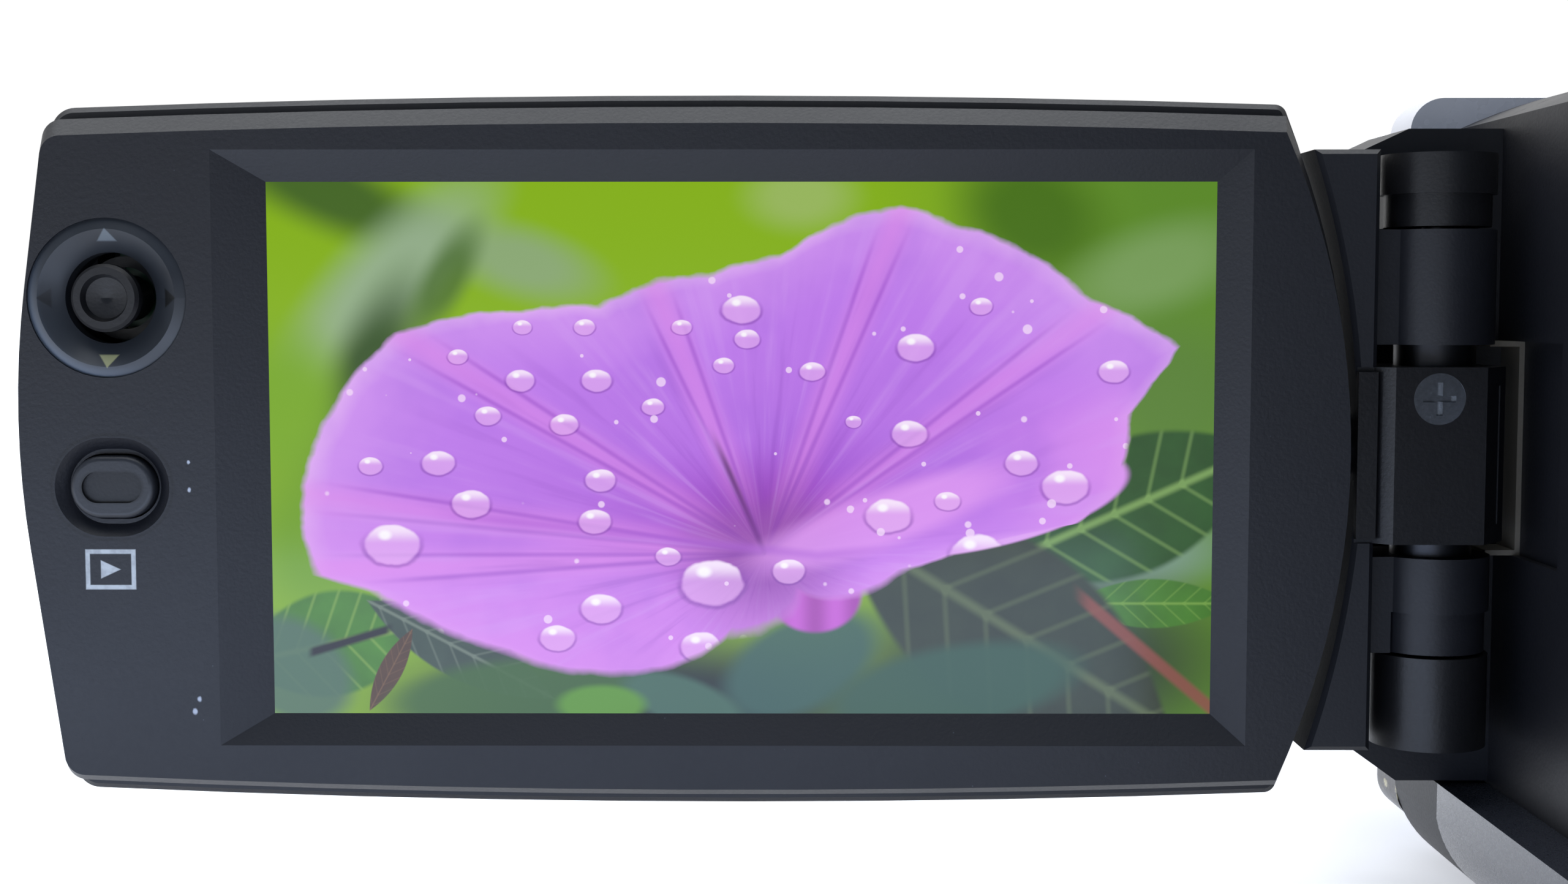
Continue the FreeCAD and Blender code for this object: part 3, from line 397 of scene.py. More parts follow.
# ---------------------------------------------------------------- the picture on the screen
# lengths here are in sixteenths of the screen's width, from its lower left corner
RIM = [(2.2, 6.5), (4.3, 6.85), (5.6, 6.95), (6.5, 7.35), (7.5, 7.45), (8.6, 7.8), (9.6, 8.35), (10.7, 8.6),
       (11.7, 8.3), (13.2, 7.6), (13.8, 7.1), (14.7, 6.7), (15.45, 6.2), (15.1, 5.85), (14.55, 5.1),
       (14.4, 3.95), (13.8, 3.3), (12.4, 3.0), (10.8, 2.5), (9.0, 2.1), (7.8, 1.4), (7.0, 0.9), (5.6, 0.7),
       (3.9, 1.1), (2.4, 1.7), (1.7, 2.1), (0.7, 2.4), (0.5, 3.3), (0.7, 4.5), (1.2, 5.5)]
THROAT = (8.4, 2.75)
RIB_ENDS = [(2.2, 6.5), (6.5, 7.35), (10.7, 8.6), (13.9, 6.8), (0.5, 3.75), (1.8, 2.5)]
REACH = 10.0
DROPS = [(8.0, 6.9, 0.30), (8.1, 6.4, 0.2), (7.7, 5.95, 0.17), (10.95, 6.25, 0.29), (12.05, 6.95, 0.18),
         (9.2, 5.85, 0.2), (5.55, 5.7, 0.24), (4.25, 5.7, 0.23), (6.5, 5.25, 0.18), (5.0, 4.95, 0.22),
         (10.85, 4.8, 0.28), (2.85, 4.3, 0.26), (3.7, 5.1, 0.2), (5.6, 4.0, 0.24), (3.4, 3.6, 0.3),
         (2.05, 2.9, 0.44), (5.5, 3.3, 0.26), (12.75, 4.3, 0.26), (13.5, 3.9, 0.36), (7.5, 2.25, 0.5),
         (12.0, 2.75, 0.42), (5.6, 1.8, 0.32), (4.85, 1.3, 0.28), (7.3, 1.15, 0.32), (8.8, 2.45, 0.26),
         (1.7, 4.25, 0.19), (6.75, 2.7, 0.2), (9.9, 5.0, 0.13), (5.35, 6.6, 0.17), (14.3, 5.85, 0.24),
         (10.5, 3.4, 0.36), (11.5, 3.65, 0.2), (3.2, 6.1, 0.16), (7.0, 6.6, 0.16), (4.3, 6.6, 0.15)]


def picture_finish():
    """A funnel-shaped flower wet with rain over blurred leaves."""
    s = Surface("lit_picture")
    x, y, z = s.xyz()
    inset = 1.4 * MM
    left = cell_low.x + inset
    foot = cell_low.z + inset
    unit = (cell_high.x - 0.8 * MM - left) / 16.0
    px = (x - left) / unit
    py = (z - foot) / unit
    flat = s.node("ShaderNodeCombineXYZ", {}, [px, py, 0.0])
    wobble = s.noise(1.4, 2.0, where=flat) - 0.5

    def spot(cx, cy, rx, ry, soft=1.0, tilt=0.0):
        c = math.cos(math.radians(tilt))
        n = math.sin(math.radians(tilt))
        dx = px - cx
        dy = py - cy
        along = (dx * c + dy * n) / rx
        across = (dy * c - dx * n) / ry
        return 1 - (along * along + across * across).root().ramp(1.0 - soft, 1.0)

    def leaf(ground, cx, cy, reach, half, tilt, tone, vein, soft=0.06):
        """A pointed leaf with a midrib and side veins over a ground colour."""
        c = math.cos(math.radians(tilt))
        n = math.sin(math.radians(tilt))
        dx = px - cx
        dy = py - cy
        along = (dx * c + dy * n) / reach
        across = (dy * c - dx * n) / half
        inside = 1 - (across.abs() - (1 - along * along)).ramp(-soft, soft)
        rib = 1 - across.abs().ramp(0.0, 0.10)
        side = 1 - (((along * 4.0 - across.abs() * 1.3).fraction() - 0.5).abs()).ramp(0.0, 0.12)
        shade = s.noise(0.8, 3.0, where=flat)
        skin = s.mix(shade, tuple(k * 0.55 for k in tone), tuple(k * 1.35 for k in tone))
        skin = s.mix((rib + side * 0.5).least(1.0) * 0.75, skin, vein)
        return s.mix(inside, ground, skin)

    leaves = s.mix(px.ramp(9.5, 15.0), srgb(134, 178, 22), srgb(92, 138, 40))
    for cx, cy, rx, ry, tilt, strength, tone in (
            (1.0, 8.9, 3.2, 0.9, -24, 1.0, srgb(70, 104, 36)),
            (2.1, 7.4, 3.1, 1.15, 44, 0.95, srgb(150, 176, 142)),
            (1.6, 5.7, 2.6, 0.9, 66, 0.95, srgb(44, 76, 28)),
            (4.3, 7.7, 1.9, 0.8, -16, 0.8, srgb(142, 168, 130)),
            (3.0, 7.4, 1.5, 0.55, 60, 0.8, srgb(66, 104, 30)),
            (0.3, 5.2, 1.4, 1.9, 0, 0.9, srgb(118, 168, 26)),
            (0.8, 3.0, 1.7, 2.0, 0, 0.9, srgb(108, 158, 22)),
            (9.0, 8.8, 1.3, 0.8, 0, 0.7, srgb(160, 186, 110)),
            (12.9, 8.5, 1.9, 1.5, -30, 0.95, srgb(70, 112, 22)),
            (15.0, 7.6, 2.2, 1.0, 18, 0.8, srgb(126, 162, 98)),
            (15.4, 5.4, 1.7, 1.8, 0, 0.8, srgb(84, 126, 44)),
            (14.2, 2.6, 2.8, 0.9, 8, 1.0, srgb(120, 150, 134)),
            (6.5, 0.1, 6.5, 1.9, 0, 1.0, srgb(20, 30, 18)),
            (13.0, 0.9, 4.6, 2.2, 0, 1.0, srgb(26, 38, 24))):
        leaves = s.mix(spot(cx, cy, rx, ry, 0.75, tilt) * strength, leaves, tone)
    leaves = leaf(leaves, 14.6, 3.55, 2.5, 1.15, 24, srgb(36, 82, 30), srgb(132, 172, 96))
    leaves = leaf(leaves, 15.0, 1.9, 1.4, 0.42, 0, srgb(66, 122, 34), srgb(120, 164, 70))
    leaves = leaf(leaves, 1.0, 1.2, 1.7, 0.9, 12, srgb(70, 128, 30), srgb(150, 186, 88))
    leaves = leaf(leaves, 12.5, 1.5, 3.3, 1.5, -32, srgb(46, 56, 38), srgb(96, 112, 78))
    leaves = leaf(leaves, 3.2, 1.1, 1.8, 0.5, -28, srgb(60, 76, 64), srgb(120, 134, 122))
    leaves = leaf(leaves, 2.0, 0.75, 0.8, 0.2, 62, srgb(84, 58, 34), srgb(120, 90, 60))
    for cx, cy, rx, ry, tilt, tone in (
            (4.2, 0.3, 2.6, 0.75, 4, srgb(58, 98, 40)), (0.3, 0.75, 1.35, 1.0, -35, srgb(78, 108, 92)),
            (9.0, 0.85, 1.7, 0.95, 28, srgb(54, 92, 84)), (7.0, 0.2, 1.3, 0.5, -20, srgb(66, 104, 88)),
            (11.6, 0.45, 2.6, 0.85, 10, srgb(48, 86, 70)), (5.6, 0.15, 0.9, 0.4, 0, srgb(92, 150, 36))):
        leaves = s.mix(spot(cx, cy, rx, ry, 0.35, tilt) * 0.92, leaves, tone)
    stem = 1 - ((py - 1.9 + (px - 13.9) * 0.85).abs()).ramp(0.06, 0.2)
    leaves = s.mix(stem * px.ramp(13.6, 14.0) * 0.85, leaves, srgb(138, 74, 66))
    twig = 1 - ((py - 1.25 - (px - 1.3) * 0.3).abs()).ramp(0.03, 0.12)
    leaves = s.mix(twig * px.ramp(0.55, 0.7) * (1 - px.ramp(1.9, 2.1)), leaves, srgb(24, 16, 16))
    calyx = spot(9.25, 2.05, 0.85, 0.7, 0.15)
    pleat = ((px * 9.0).sin() * 0.5 + 0.5) * 0.6
    leaves = s.mix(calyx, leaves, s.mix(pleat, srgb(196, 96, 214), srgb(140, 44, 150)))

    dx = px - THROAT[0]
    dy = py - THROAT[1]
    out = (dx * dx + dy * dy).root()
    turn = (dy.math("ARCTAN2", dx) / TAU + 1.0).fraction()

    def bearing(point):
        return (math.atan2(point[1] - THROAT[1], point[0] - THROAT[0]) / TAU) % 1.0

    def length(point):
        return math.hypot(point[0] - THROAT[0], point[1] - THROAT[1])

    rim = sorted((bearing(p), length(p)) for p in RIM)
    first = rim[0][1] * 0.5 + rim[-1][1] * 0.5
    stops = [(0.0, first)] + rim + [(1.0, first)]
    edge = s.node("ShaderNodeValToRGB", {"stops": [(a, (r / REACH,) * 3) for a, r in stops]}, [turn])
    frill = s.noise(0.35, 2.0, where=flat) - 0.5
    edge = Value(s, edge.socket) * REACH + wobble * 0.2 + frill * 0.12
    share = (out / edge.most(0.05)).least(1.0)
    near = 1 - py.ramp(1.6, 3.4)
    haze = 0.05 + near * 0.07
    petal = (edge - out + haze) / (haze * 2.0)
    front_lip = spot(12.05, 3.62, 2.65, 0.82, 0.07, 12)
    petal = petal.least(1.0).most(front_lip)

    tone = s.node("ShaderNodeValToRGB", {"stops": [
        (0.0, srgb(84, 10, 112)), (0.08, srgb(122, 26, 158)), (0.2, srgb(158, 66, 204)),
        (0.42, srgb(180, 108, 228)), (0.75, srgb(190, 122, 236)), (0.95, srgb(204, 142, 240)),
        (1.0, srgb(222, 172, 244))]}, [share])
    pinker = (1 - py.ramp(1.2, 4.4)).most(px.ramp(11.0, 15.0) * (1 - py.ramp(4.6, 6.2)))
    tone = s.mix(pinker * 0.75 * share.ramp(0.1, 0.4), tone, srgb(216, 136, 238))
    fold = s.noise(1.8, 3.0, 0.55, where=flat)
    tone = s.mix(fold.ramp(0.4, 0.75) * 0.3, tone, srgb(158, 94, 218))
    for end in RIB_ENDS:
        off = ((turn - bearing(end) + 1.5).fraction() - 0.5) * out * TAU
        band = 1 - off.abs().ramp(0.0, 0.42)
        tone = s.mix(band * 0.5, tone, srgb(222, 138, 234))
        for side in (-1.0, 1.0):
            line = 1 - (off - share * 0.26 * side).abs().ramp(0.0, 0.07)
            tone = s.mix(line * 0.5 * (1 - share.ramp(0.75, 1.0)), tone, srgb(146, 62, 196))
    streak = s.noise(0.012, 3.0, where=s.node("ShaderNodeCombineXYZ", {}, [turn, share * 0.02, 0.0]))
    tone = s.mix(streak.ramp(0.5, 0.72) * 0.32, tone, srgb(212, 158, 244))
    tone = s.mix((1 - streak).ramp(0.52, 0.72) * 0.26 * (1 - share.ramp(0.5, 1.0)), tone, srgb(128, 48, 182))
    slit_line = 1 - ((turn - 0.315).abs() * out * TAU).ramp(0.0, 0.09)
    slit = s.mix(slit_line * (1 - share.ramp(0.3, 0.5)) * 0.8, tone, srgb(66, 14, 84))
    tone = s.mix((1 - out.ramp(0.1, 2.0)) * 0.75, slit, srgb(122, 22, 150))
    lip = spot(10.4, 3.35, 3.0, 0.62, 0.5, 20)
    tone = s.mix(lip * 0.8, tone, srgb(222, 150, 242))
    crease = 1 - ((py - 2.72 - (px - 9.3).abs() * 0.11).abs()).ramp(0.0, 0.14)
    tone = s.mix(crease * px.ramp(2.5, 4.0) * (1 - px.ramp(9.5, 11.0)) * 0.45, tone, srgb(164, 78, 208))

    nearest = None
    for cx, cy, r in DROPS:
        away = s.node("ShaderNodeVectorMath", {"operation": "SUBTRACT"}, [flat, (cx, cy, 0.0)])
        away = s.node("ShaderNodeVectorMath", {"operation": "MULTIPLY"}, [away, (0.89 / r, 1.19 / r, 0.0)])
        reach = s.node("ShaderNodeVectorMath", {"operation": "LENGTH"}, [away], 1)
        if nearest is None:
            nearest, reached = away, reach
            continue
        closer = reach.math("LESS_THAN", reached)
        nearest = s.node("ShaderNodeMix", {"data_type": "VECTOR"}, {0: closer, 4: nearest, 5: away}, 1)
        reached = reached.least(reach)
    within = s.node("ShaderNodeSeparateXYZ", {}, [nearest])
    lift = Value(s, within.socket.node.outputs[1])
    reached = reached + frill * 0.25
    # a drop is a pale lens with a bright upper side, a glint, and a dark line below
    bead = 1 - reached.ramp(0.86, 1.0)
    shadow = 1 - (reached - 1.0).abs().ramp(0.0, 0.16)
    tone = s.mix(shadow * 0.5 * (1 - lift.ramp(-0.6, 0.9)), tone, srgb(118, 44, 160))
    tone = s.mix(bead * 0.62, tone, srgb(226, 172, 240))
    tone = s.mix(bead * lift.ramp(0.0, 0.8) * 0.8, tone, srgb(252, 240, 254))
    glint = 1 - ((within + 0.25) * (within + 0.25) + (lift - 0.45) * (lift - 0.45)).root().ramp(0.1, 0.32)
    tone = s.mix(bead * glint * 0.8, tone, (1.0, 1.0, 1.0))
    cells = s.node("ShaderNodeTexVoronoi", {}, {"Vector": flat, "Scale": 2.1, "Randomness": 1.0})
    random = s.node("ShaderNodeSeparateXYZ", {}, [Value(s, cells.socket.node.outputs[1])])
    wet = Value(s, random.socket.node.outputs[1]).ramp(0.3, 0.34)
    small = cells / (random * 0.13 + 0.06)
    bead = (1 - small.ramp(0.8, 1.05)) * wet
    tone = s.mix(bead * 0.75, tone, srgb(244, 218, 250))
    picture = s.mix(petal, leaves, tone)
    smear = s.noise(0.02, 2.0)
    return s.finish(Base_Color=s.mix(smear, srgb(4, 4, 5), srgb(7, 7, 8)), Roughness=smear * 0.05 + 0.12,
                    Emission_Color=picture, Emission_Strength=0.96, Specular_IOR_Level=0.25)


# ---------------------------------------------------------------- who wears what
def satin_paint(name, colour):
    """Satin body paint with a fine metallic flake."""
    s = Surface(name)
    flake = s.node("ShaderNodeTexVoronoi", {}, {"Vector": s.coords(), "Scale": 9000.0}, 1)
    bright = s.node("ShaderNodeSeparateXYZ", {}, [flake])
    broad = s.noise(0.02, 3.0)
    dark = tuple(c * 0.75 for c in colour)
    light = tuple(c * 1.3 for c in colour)
    tone = s.mix(bright * 0.6 + broad * 0.4, dark, light)
    return s.finish(Base_Color=tone, Roughness=(bright - 0.5) * 0.12 + 0.3, Coat_Weight=0.3,
                    Coat_Roughness=0.2)


def polished(name, low, high, split):
    """Plated trim with painted reflections: bluish grey above the split height, dark warm brown below it with
    pale gold painted glints.
    """
    s = Surface(name)
    x, y, z = s.xyz()
    broad = s.noise(0.003, 3.0)
    ripple = s.noise(0.0016, 3.0, 0.6)
    # painted reflection: light bluish grey above the split height, dark brown below it
    tone = s.mix((z - split + (broad - 0.5) * 0.01).ramp(-0.004, 0.004), low, high)
    # painted glints: pale gold flecks in the lower part
    tone = s.mix(ripple.ramp(0.6, 0.68) * (1 - z.ramp(split - 0.02, split)) * 0.5, tone, (0.75, 0.68, 0.42))
    return s.finish(Base_Color=tone, Metallic=0.12, Roughness=broad * 0.12 + 0.2,
                    Normal=s.bump(ripple, 0.2, 0.00006), Specular_IOR_Level=0.2)


charcoal = moulded("charcoal_plastic", CHARCOAL, 0.5)
soot = moulded("soot_plastic", SOOT, 0.42)
ink_plastic = moulded("ink_plastic", INK, 0.38)
shell_paint = satin_paint("dark_satin_paint", (0.030, 0.033, 0.043))
ring_paint = silver_paint("bright_silver_paint", (0.82, 0.83, 0.84), 0.3)
# the two colours are the painted reflection below and above the lens axis
chrome = polished("chrome_painted_reflections", (0.020, 0.016, 0.016), (0.62, 0.63, 0.68), LENS_Z)
steel = metal("ground_steel", (0.55, 0.55, 0.56), 0.28, (1, 1, 12))
dark_steel = metal("black_zinc", (0.035, 0.036, 0.040), 0.4, (6, 6, 6))
screw_steel = metal("blackened_screw", (0.20, 0.22, 0.25), 0.22, (3, 3, 3))
brass = metal("turned_brass", (0.76, 0.58, 0.30), 0.3, (1, 1, 10))
board = circuit_board("solder_mask")
tape = webbing("woven_nylon", (0.030, 0.030, 0.033))
foam_cloth = pad_cloth("knitted_cloth", (0.034, 0.034, 0.038))
thread = moulded("stitching_thread", (0.11, 0.11, 0.12), 0.7, 0.0003, 0.00008)
# the pale colour of the hinge slot trim is a painted highlight along the notch's edges
trim = moulded("pale_plastic_painted_edge_highlight", srgb(96, 91, 82), 0.45)
lens_coat = glass("coated_glass", (0.010, 0.012, 0.030), (0.05, 0.02, 0.07))
inner_glass = glass("inner_glass", (0.02, 0.03, 0.04), (0.02, 0.05, 0.04))
gloss_black = moulded("gloss_black", srgb(12, 12, 14), 0.12, speck=0.05, depth=0.000004, coat=0.6)
grey_plastic = moulded("grey_plastic", srgb(118, 120, 126), 0.36)
white_plastic = moulded("white_plastic", srgb(224, 224, 220), 0.5)
smoky_red = moulded("smoky_red", srgb(52, 12, 20), 0.1, speck=0.1, depth=0.000004, coat=0.8)

WEARS = {
    charcoal: ["top_cover", "left_casing", "front_housing", "rear_cover", "lcd_back_cover",
               "hinge_cover_front", "hinge_cover_rear", "card_door", "terminal_cover", "battery_pack"],
    soot: ["hinge_mount", "speaker_grille", "jack_block", "lens_tube", "joystick_cap", "joystick_gimbal",
           "joystick_rocker", "mode_dial", "microphone_grille"],
    ink_plastic: ["hinge_block", "upper_lens_blade", "lower_lens_blade", "sensor_block"],
    shell_paint: ["right_casing", "bottom_cover"],
    ring_paint: ["front_ring"],
    chrome: ["chrome_band", "photo_button", "record_button"],
    steel: ["guide_shafts", "strap_bars", "casing_screws", "chassis_plate", "display_frame"],
    dark_steel: ["hinge_bracket", "hinge_pin", "tilt_shaft", "lcd_screws"],
    brass: ["tripod_socket"],
    board: ["main_board", "panel_board"],
    tape: ["strap_webbing"],
    foam_cloth: ["strap_pad"],
    trim: ["hinge_slot_trim"],
    lens_coat: ["front_lens"],
    inner_glass: ["fixed_lens_group", "zoom_lens_carrier", "focus_lens_carrier"],
    gloss_black: ["lens_bezel"],
    grey_plastic: ["battery_latch", "zoom_lever", "power_button", "lens_cover_switch"],
    white_plastic: ["display_backlight"],
    smoky_red: ["lamp_window"],
    bezel_finish(): ["lcd_bezel"],
    dish_finish(): ["joystick_ring"],
    picture_finish(): ["display_cell"],
    key_finish(): ["play_button"],
    screw_steel: ["hinge_screw"],
}

for finish, wearers in WEARS.items():
    for node in wearers:
        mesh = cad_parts[node].data
        for index in range(max(1, len(mesh.materials))):
            if index < len(mesh.materials):
                mesh.materials[index] = finish
            else:
                mesh.materials.append(finish)


# ---------------------------------------------------------------- hand strap
def built(name, bm, finish):
    """A smooth-shaded object from a bmesh, in one finish."""
    mesh = bpy.data.meshes.new(name)
    bmesh.ops.recalc_face_normals(bm, faces=bm.faces)
    for face in bm.faces:
        face.smooth = True
    bm.to_mesh(mesh)
    bm.free()
    mesh.materials.append(finish)
    made = bpy.data.objects.new(name, mesh)
    bpy.context.scene.collection.objects.link(made)
    return made


bars_low, bars_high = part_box("strap_bars")
tape_low, tape_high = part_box("strap_webbing")
pad_low, pad_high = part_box("strap_pad")
BAR_R = 1.3 * MM
TAPE_T = 1.5 * MM
BAR_X = bars_high.x - BAR_R
BAR_YS = (bars_low.y + BAR_R, bars_high.y - BAR_R)
BOW_Y = (BAR_YS[0] + BAR_YS[1]) / 2
BOW_HALF = (BAR_YS[1] - BAR_YS[0]) / 2
BOW_DEPTH = tape_high.x - BAR_X - 1.6 * MM
BOW_R = (BOW_HALF ** 2 + BOW_DEPTH ** 2) / (2 * BOW_DEPTH)
BOW_X = tape_high.x - BOW_R
TAPE_Z = (tape_low.z, tape_high.z)
PAD_Z = (pad_low.z + 1.0 * MM, pad_high.z - 1.0 * MM)
PAD_SWEEP = math.asin((pad_high.y - pad_low.y) / 2 / BOW_R) * 0.93
PAD_MID = math.asin(((pad_high.y + pad_low.y) / 2 - BOW_Y) / BOW_R)


def bow_point(turn, radius):
    """A point beside the grip: turn is the angle from the bow's middle."""
    return Vector((BOW_X + math.cos(turn) * radius, BOW_Y + math.sin(turn) * radius, 0))


def ribbon(name, path, low, high, thick, finish):
    """A flat tape standing on edge along a path in plan, with rounded selvedges."""
    bm = bmesh.new()
    edge = thick * 0.35
    half = thick / 2
    section = [(-half, low + edge), (-half + edge, low), (half - edge, low), (half, low + edge),
               (half, high - edge), (half - edge, high), (-half + edge, high), (-half, high - edge)]
    rings = []
    for index, point in enumerate(path):
        ahead = path[min(index + 1, len(path) - 1)] - path[max(index - 1, 0)]
        across = Vector((ahead.y, -ahead.x, 0)).normalized()
        rings.append([bm.verts.new(point + across * out + Vector((0, 0, z))) for out, z in section])
    count = len(section)
    for a, b in zip(rings, rings[1:]):
        for k in range(count):
            bm.faces.new((a[k], a[(k + 1) % count], b[(k + 1) % count], b[k]))
    bm.faces.new(rings[0])
    bm.faces.new(rings[-1][::-1])
    return built(name, bm, finish)


def strap_tape():
    """Nylon tape: out along the bow, round each bar and back on itself."""
    centre = BOW_R - 0.8 * MM
    ends = []
    for index, bar_y in enumerate(BAR_YS):
        side = -1 if index == 0 else 1
        loop = []
        wrap = BAR_R + TAPE_T / 2 + 0.1 * MM
        for step in range(15):
            turn = math.radians(15 + step * 225 / 14)
            loop.append(Vector((BAR_X + math.cos(turn) * wrap, bar_y + side * math.sin(turn) * wrap, 0)))
        ends.append(loop)
    reach = math.asin(BOW_HALF / BOW_R) - 0.045
    bow = [bow_point(-reach + 2 * reach * step / 60, centre) for step in range(61)]
    main = ribbon("hand_strap", list(reversed(ends[0])) + bow + ends[1], *TAPE_Z, TAPE_T, tape)
    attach(main, "camera_body")
    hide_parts("strap_webbing")
    lap = [bow_point(reach - 0.02 - 0.46 * step / 24, centre + TAPE_T + 0.05 * MM) for step in range(25)]
    over = ribbon("strap_lap", lap, TAPE_Z[0] + 0.6 * MM, TAPE_Z[1] - 0.6 * MM, TAPE_T * 0.9, tape)
    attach(over, "camera_body")


def stitches(name, spots, finish, body):
    """Short thread stitches; each spot is (middle, direction, outward)."""
    bm = bmesh.new()
    for middle, along, outward in spots:
        side = along.cross(outward).normalized()
        turn = Matrix((side, along.normalized(), outward.normalized())).transposed().to_4x4()
        place = Matrix.Translation(middle) @ turn @ Matrix.Diagonal((0.22 * MM, 0.75 * MM, 0.2 * MM, 1))
        bmesh.ops.create_icosphere(bm, subdivisions=2, radius=1.0, matrix=place)
    made = built(name, bm, finish)
    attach(made, body)
    return made


def strap_stitching():
    """Thread that holds the lap: two rows across the tape and one along each edge."""
    spots = []
    outer = BOW_R + TAPE_T + 0.02 * MM
    reach = math.asin(BOW_HALF / BOW_R) - 0.065
    for row in (reach, reach - 0.14):
        for step in range(9):
            z = TAPE_Z[0] + (TAPE_Z[1] - TAPE_Z[0]) * (0.12 + 0.76 * step / 8)
            at = bow_point(row, outer - 0.05 * MM) + Vector((0, 0, z))
            spots.append((at, Vector((0, 0, 1)), at - Vector((BOW_X, BOW_Y, z))))
    for z in (TAPE_Z[0] + 2.2 * MM, TAPE_Z[1] - 2.2 * MM):
        for step in range(5):
            turn = reach - 0.14 * (step + 0.5) / 5
            at = bow_point(turn, outer - 0.05 * MM) + Vector((0, 0, z))
            along = Vector((-math.sin(turn), math.cos(turn), 0))
            spots.append((at, along, at - Vector((BOW_X, BOW_Y, z))))
    stitches("strap_stitching", spots, thread, "camera_body")


PAD_OUTER = BOW_R - 2.5 * MM
PAD_INNER = BOW_R - 6.6 * MM
PUFF_CAP = 1.3 * MM
CHANNELS = (-0.45, 0.0, 0.45)
CORNER_POWER = 0.36


def pad_outline(shrink, count=72):
    """The pad's rounded edge as (turn, z) pairs."""
    half_a = PAD_SWEEP - shrink / BOW_R
    half_z = (PAD_Z[1] - PAD_Z[0]) / 2 - shrink
    mid_z = (PAD_Z[0] + PAD_Z[1]) / 2
    points = []
    for step in range(count):
        turn = TAU * step / count
        c = math.cos(turn)
        n = math.sin(turn)
        points.append((PAD_MID + half_a * math.copysign(abs(c) ** CORNER_POWER, c),
                       mid_z + half_z * math.copysign(abs(n) ** CORNER_POWER, n)))
    return points


def strap_cushion():
    """Foam cushion in knitted cloth: blown up by simulation, then pinched along its sewn channels."""
    bm = bmesh.new()
    rings = []
    for radius, shrink in ((PAD_OUTER, 1.6 * MM), (PAD_OUTER - 1.2 * MM, 0.6 * MM),
                           (PAD_INNER + 1.2 * MM, 0.6 * MM), (PAD_INNER, 1.6 * MM)):
        rings.append([bm.verts.new(bow_point(turn, radius) + Vector((0, 0, z)))
                      for turn, z in pad_outline(shrink)])
    for a, b in zip(rings, rings[1:]):
        for k in range(len(a)):
            j = (k + 1) % len(a)
            bm.faces.new((a[k], a[j], b[j], b[k]))
    for ring, radius in ((rings[0], PAD_OUTER), (rings[-1], PAD_INNER)):
        mid = [PAD_MID, (PAD_Z[0] + PAD_Z[1]) / 2]
        previous = ring
        for share in (0.75, 0.5, 0.25):
            inner = []
            for turn, z in pad_outline(1.6 * MM):
                inner.append(bm.verts.new(bow_point(mid[0] + (turn - mid[0]) * share, radius)
                                          + Vector((0, 0, mid[1] + (z - mid[1]) * share))))
            for k in range(len(ring)):
                j = (k + 1) % len(ring)
                bm.faces.new((previous[k], previous[j], inner[j], inner[k]))
            previous = inner
        bm.faces.new(previous)
    cushion = built("strap_cushion", bm, foam_cloth)
    bpy.context.view_layer.objects.active = cushion
    remesh = cushion.modifiers.new("remesh", "REMESH")
    remesh.mode = "VOXEL"
    remesh.voxel_size = 1.1 * MM
    apply_modifiers(cushion)
    inflate(cushion)
    smooth = cushion.modifiers.new("rounding", "SUBSURF")
    smooth.levels = 1
    smooth.render_levels = 1
    apply_modifiers(cushion)
    mesh = cushion.data
    for vertex in mesh.vertices:
        at = vertex.co
        flat = Vector((at.x - BOW_X, at.y - BOW_Y, 0))
        turn = math.atan2(flat.y, flat.x)
        radius = flat.length
        channel = min(abs(turn - PAD_MID - PAD_SWEEP * k) * BOW_R for k in CHANNELS)
        dent = 0.75 * MM * math.exp(-(channel / (0.7 * MM)) ** 2)
        middle = (PAD_OUTER + PAD_INNER) / 2
        pull = dent if radius > middle else -dent
        vertex.co = Vector((BOW_X, BOW_Y, at.z)) + flat.normalized() * (radius - pull)
    for polygon in mesh.polygons:
        polygon.use_smooth = True
    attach(cushion, "camera_body")
    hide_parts("strap_pad")
    spots = []
    for k in CHANNELS:
        turn = PAD_MID + PAD_SWEEP * k
        for step in range(12):
            z = PAD_Z[0] + (PAD_Z[1] - PAD_Z[0]) * (0.08 + 0.84 * step / 11)
            hit = bow_point(turn, inner_radius(mesh, turn, z) + 0.05 * MM) + Vector((0, 0, z))
            spots.append((hit, Vector((0, 0, 1)), Vector((BOW_X, BOW_Y, z)) - hit))
    stitches("cushion_stitching", spots, thread, "camera_body")


def inner_radius(mesh, turn, z):
    """How far the cushion's inner face lies from the bow's centre at a place."""
    best = None
    for vertex in mesh.vertices:
        flat = Vector((vertex.co.x - BOW_X, vertex.co.y - BOW_Y))
        if flat.length > (PAD_OUTER + PAD_INNER) / 2 or abs(vertex.co.z - z) > MM:
            continue
        off = abs(math.atan2(flat.y, flat.x) - turn) * BOW_R + abs(vertex.co.z - z)
        if best is None or off < best[0]:
            best = (off, flat.length)
    return best[1] if best else PAD_INNER


def apply_modifiers(obj):
    """Keeps the mesh as its modifiers leave it."""
    depsgraph = bpy.context.evaluated_depsgraph_get()
    mesh = bpy.data.meshes.new_from_object(obj.evaluated_get(depsgraph))
    obj.modifiers.clear()
    old = obj.data
    obj.data = mesh
    bpy.data.meshes.remove(old)


SIM_SCALE = 10.0
SIM_FRAMES = 20


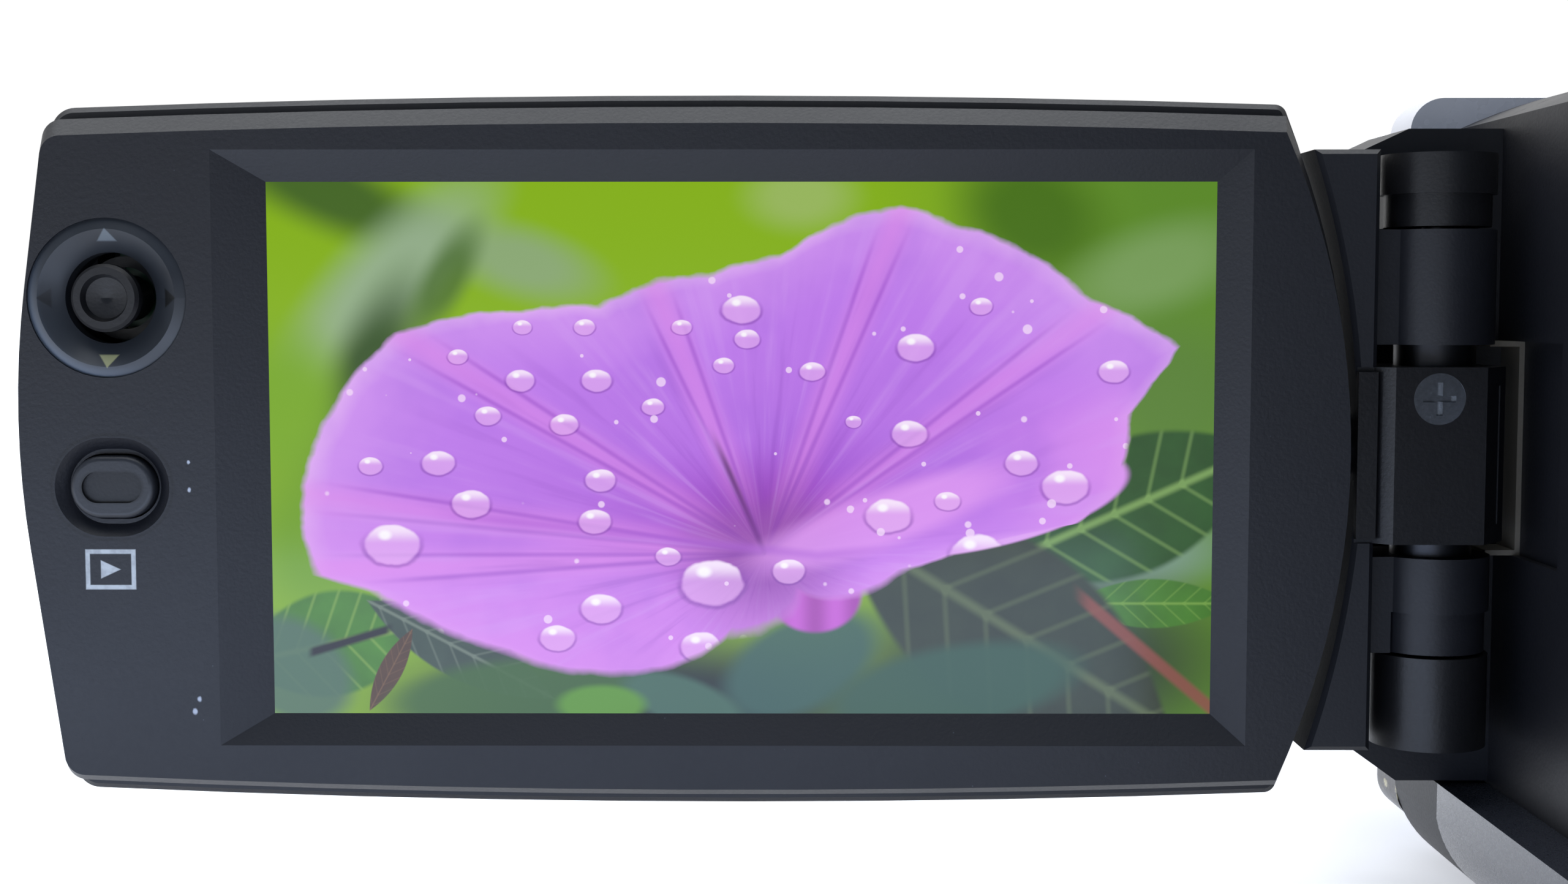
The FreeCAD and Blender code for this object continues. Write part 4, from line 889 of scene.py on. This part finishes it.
def inflate(cushion):
    """Blows the cushion up at ten times its size, caps how far each point moved, and brings it back."""
    rest = [v.co.copy() for v in cushion.data.vertices]
    middle = sum(rest, Vector()) / len(rest)
    for vertex in cushion.data.vertices:
        vertex.co = (vertex.co - middle) * SIM_SCALE
    cloth = cushion.modifiers.new("cloth", "CLOTH")
    cloth.settings.use_pressure = True
    cloth.settings.uniform_pressure_force = 4.0
    cloth.settings.effector_weights.gravity = 0.0
    cloth.settings.quality = 6
    scene = bpy.context.scene
    for number in range(1, SIM_FRAMES + 1):
        scene.frame_set(number)
    apply_modifiers(cushion)
    scene.frame_set(1)
    for vertex, start in zip(cushion.data.vertices, rest):
        step = vertex.co / SIM_SCALE + middle - start
        if step.length > PUFF_CAP:
            step *= PUFF_CAP / step.length
        vertex.co = start + step


strap_tape()
strap_stitching()
strap_cushion()


# ---------------------------------------------------------------- floor, light, camera
FLOOR_HALF = 12.0
FLOOR_GAP = 0.0002


def pale_floor():
    """White paper under the camera that glows brighter with distance, so that it has no horizon."""
    mesh = bpy.data.meshes.new("floor")
    bm = bmesh.new()
    bmesh.ops.create_grid(bm, x_segments=1, y_segments=1, size=FLOOR_HALF)
    bmesh.ops.translate(bm, verts=bm.verts, vec=(0, 0, cad_box[0][2] - FLOOR_GAP))
    bm.to_mesh(mesh)
    bm.free()
    floor = bpy.data.objects.new("floor", mesh)
    bpy.context.scene.collection.objects.link(floor)
    s = Surface("pale_paper")
    speck = s.noise(0.003, 2.0)
    x, y, z = s.xyz()
    far = (x * x + y * y).root().ramp(0.10, 0.30)
    glow = s.mix(far, (0.46, 0.47, 0.50), (1.0, 1.0, 1.0))
    paper = s.mix(speck, (0.70, 0.72, 0.76), (0.74, 0.76, 0.79))
    mesh.materials.append(s.finish(Base_Color=paper, Roughness=0.8, Specular_IOR_Level=0.2,
                                   Emission_Color=glow, Emission_Strength=1.0))


def soft_box(name, place, aim, size, power, tint):
    """A rectangular area light turned towards a point."""
    light = bpy.data.lights.new(name, "AREA")
    light.shape = "RECTANGLE"
    light.size, light.size_y = size
    light.energy = power
    light.color = tint
    lamp = bpy.data.objects.new(name, light)
    lamp.location = place
    direction = Vector(aim) - Vector(place)
    lamp.rotation_euler = direction.to_track_quat("-Z", "Y").to_euler()
    bpy.context.scene.collection.objects.link(lamp)


def studio():
    """A bright white cyclorama behind, dimmer in front and darkest at the right of the camera."""
    world = bpy.data.worlds.new("studio")
    world.use_nodes = True
    tree = world.node_tree
    background = tree.nodes["Background"]
    s = Surface.__new__(Surface)
    s.tree = tree
    s.place = None
    way = s.node("ShaderNodeTexCoord", out=0)
    split = s.node("ShaderNodeSeparateXYZ", {}, [way])
    dx, dy, dz = (Value(s, split.socket.node.outputs[k]) for k in range(3))
    behind = dy.ramp(-0.25, 0.15)
    left = (dx * -1.0).ramp(-0.75, 0.85)
    above = dz.ramp(-0.2, 0.9)
    front = s.mix(left, (0.008, 0.009, 0.012), (0.08, 0.085, 0.095))
    front = s.mix(above * 0.7, front, (0.38, 0.48, 0.64))
    background.inputs[1].default_value = 1.0
    tree.links.new(s.mix(behind, front, (1.04, 1.04, 1.04)).socket, background.inputs[0])
    bpy.context.scene.world = world
    bpy.context.scene.view_settings.view_transform = "Standard"
    soft_box("overhead", (-0.10, 0.10, 0.60), (-0.05, 0.04, 0.02), (0.7, 0.7), 4.6, (0.93, 0.96, 1.0))
    soft_box("window", (-0.45, -0.20, 0.10), (-0.09, 0.02, 0.03), (0.3, 0.3), 0.10, (0.90, 0.94, 1.0))
    soft_box("floor_glow", (-0.095, -0.03, 0.004), (-0.085, 0.025, 0.015), (0.14, 0.03), 0.05,
             (0.50, 0.66, 1.0))


def viewpoint():
    """A camera in front of the open panel, a little above it and tilted down."""
    focus = Vector((-61.3, 24.75, 32.9)) * MM
    tilt = math.radians(4.0)
    turn = math.radians(0.22)
    away = 127.5 * MM
    look = Vector((-math.sin(turn) * math.cos(tilt), math.cos(turn) * math.cos(tilt), -math.sin(tilt)))
    camera = bpy.data.cameras.new("viewpoint")
    camera.lens = 46.2
    camera.sensor_width = 36.0
    camera.clip_start = 0.005
    camera.clip_end = 20.0
    holder = bpy.data.objects.new("viewpoint", camera)
    holder.location = focus - look * away
    holder.rotation_euler = look.to_track_quat("-Z", "Y").to_euler()
    bpy.context.scene.collection.objects.link(holder)
    bpy.context.scene.camera = holder


pale_floor()
studio()
viewpoint()
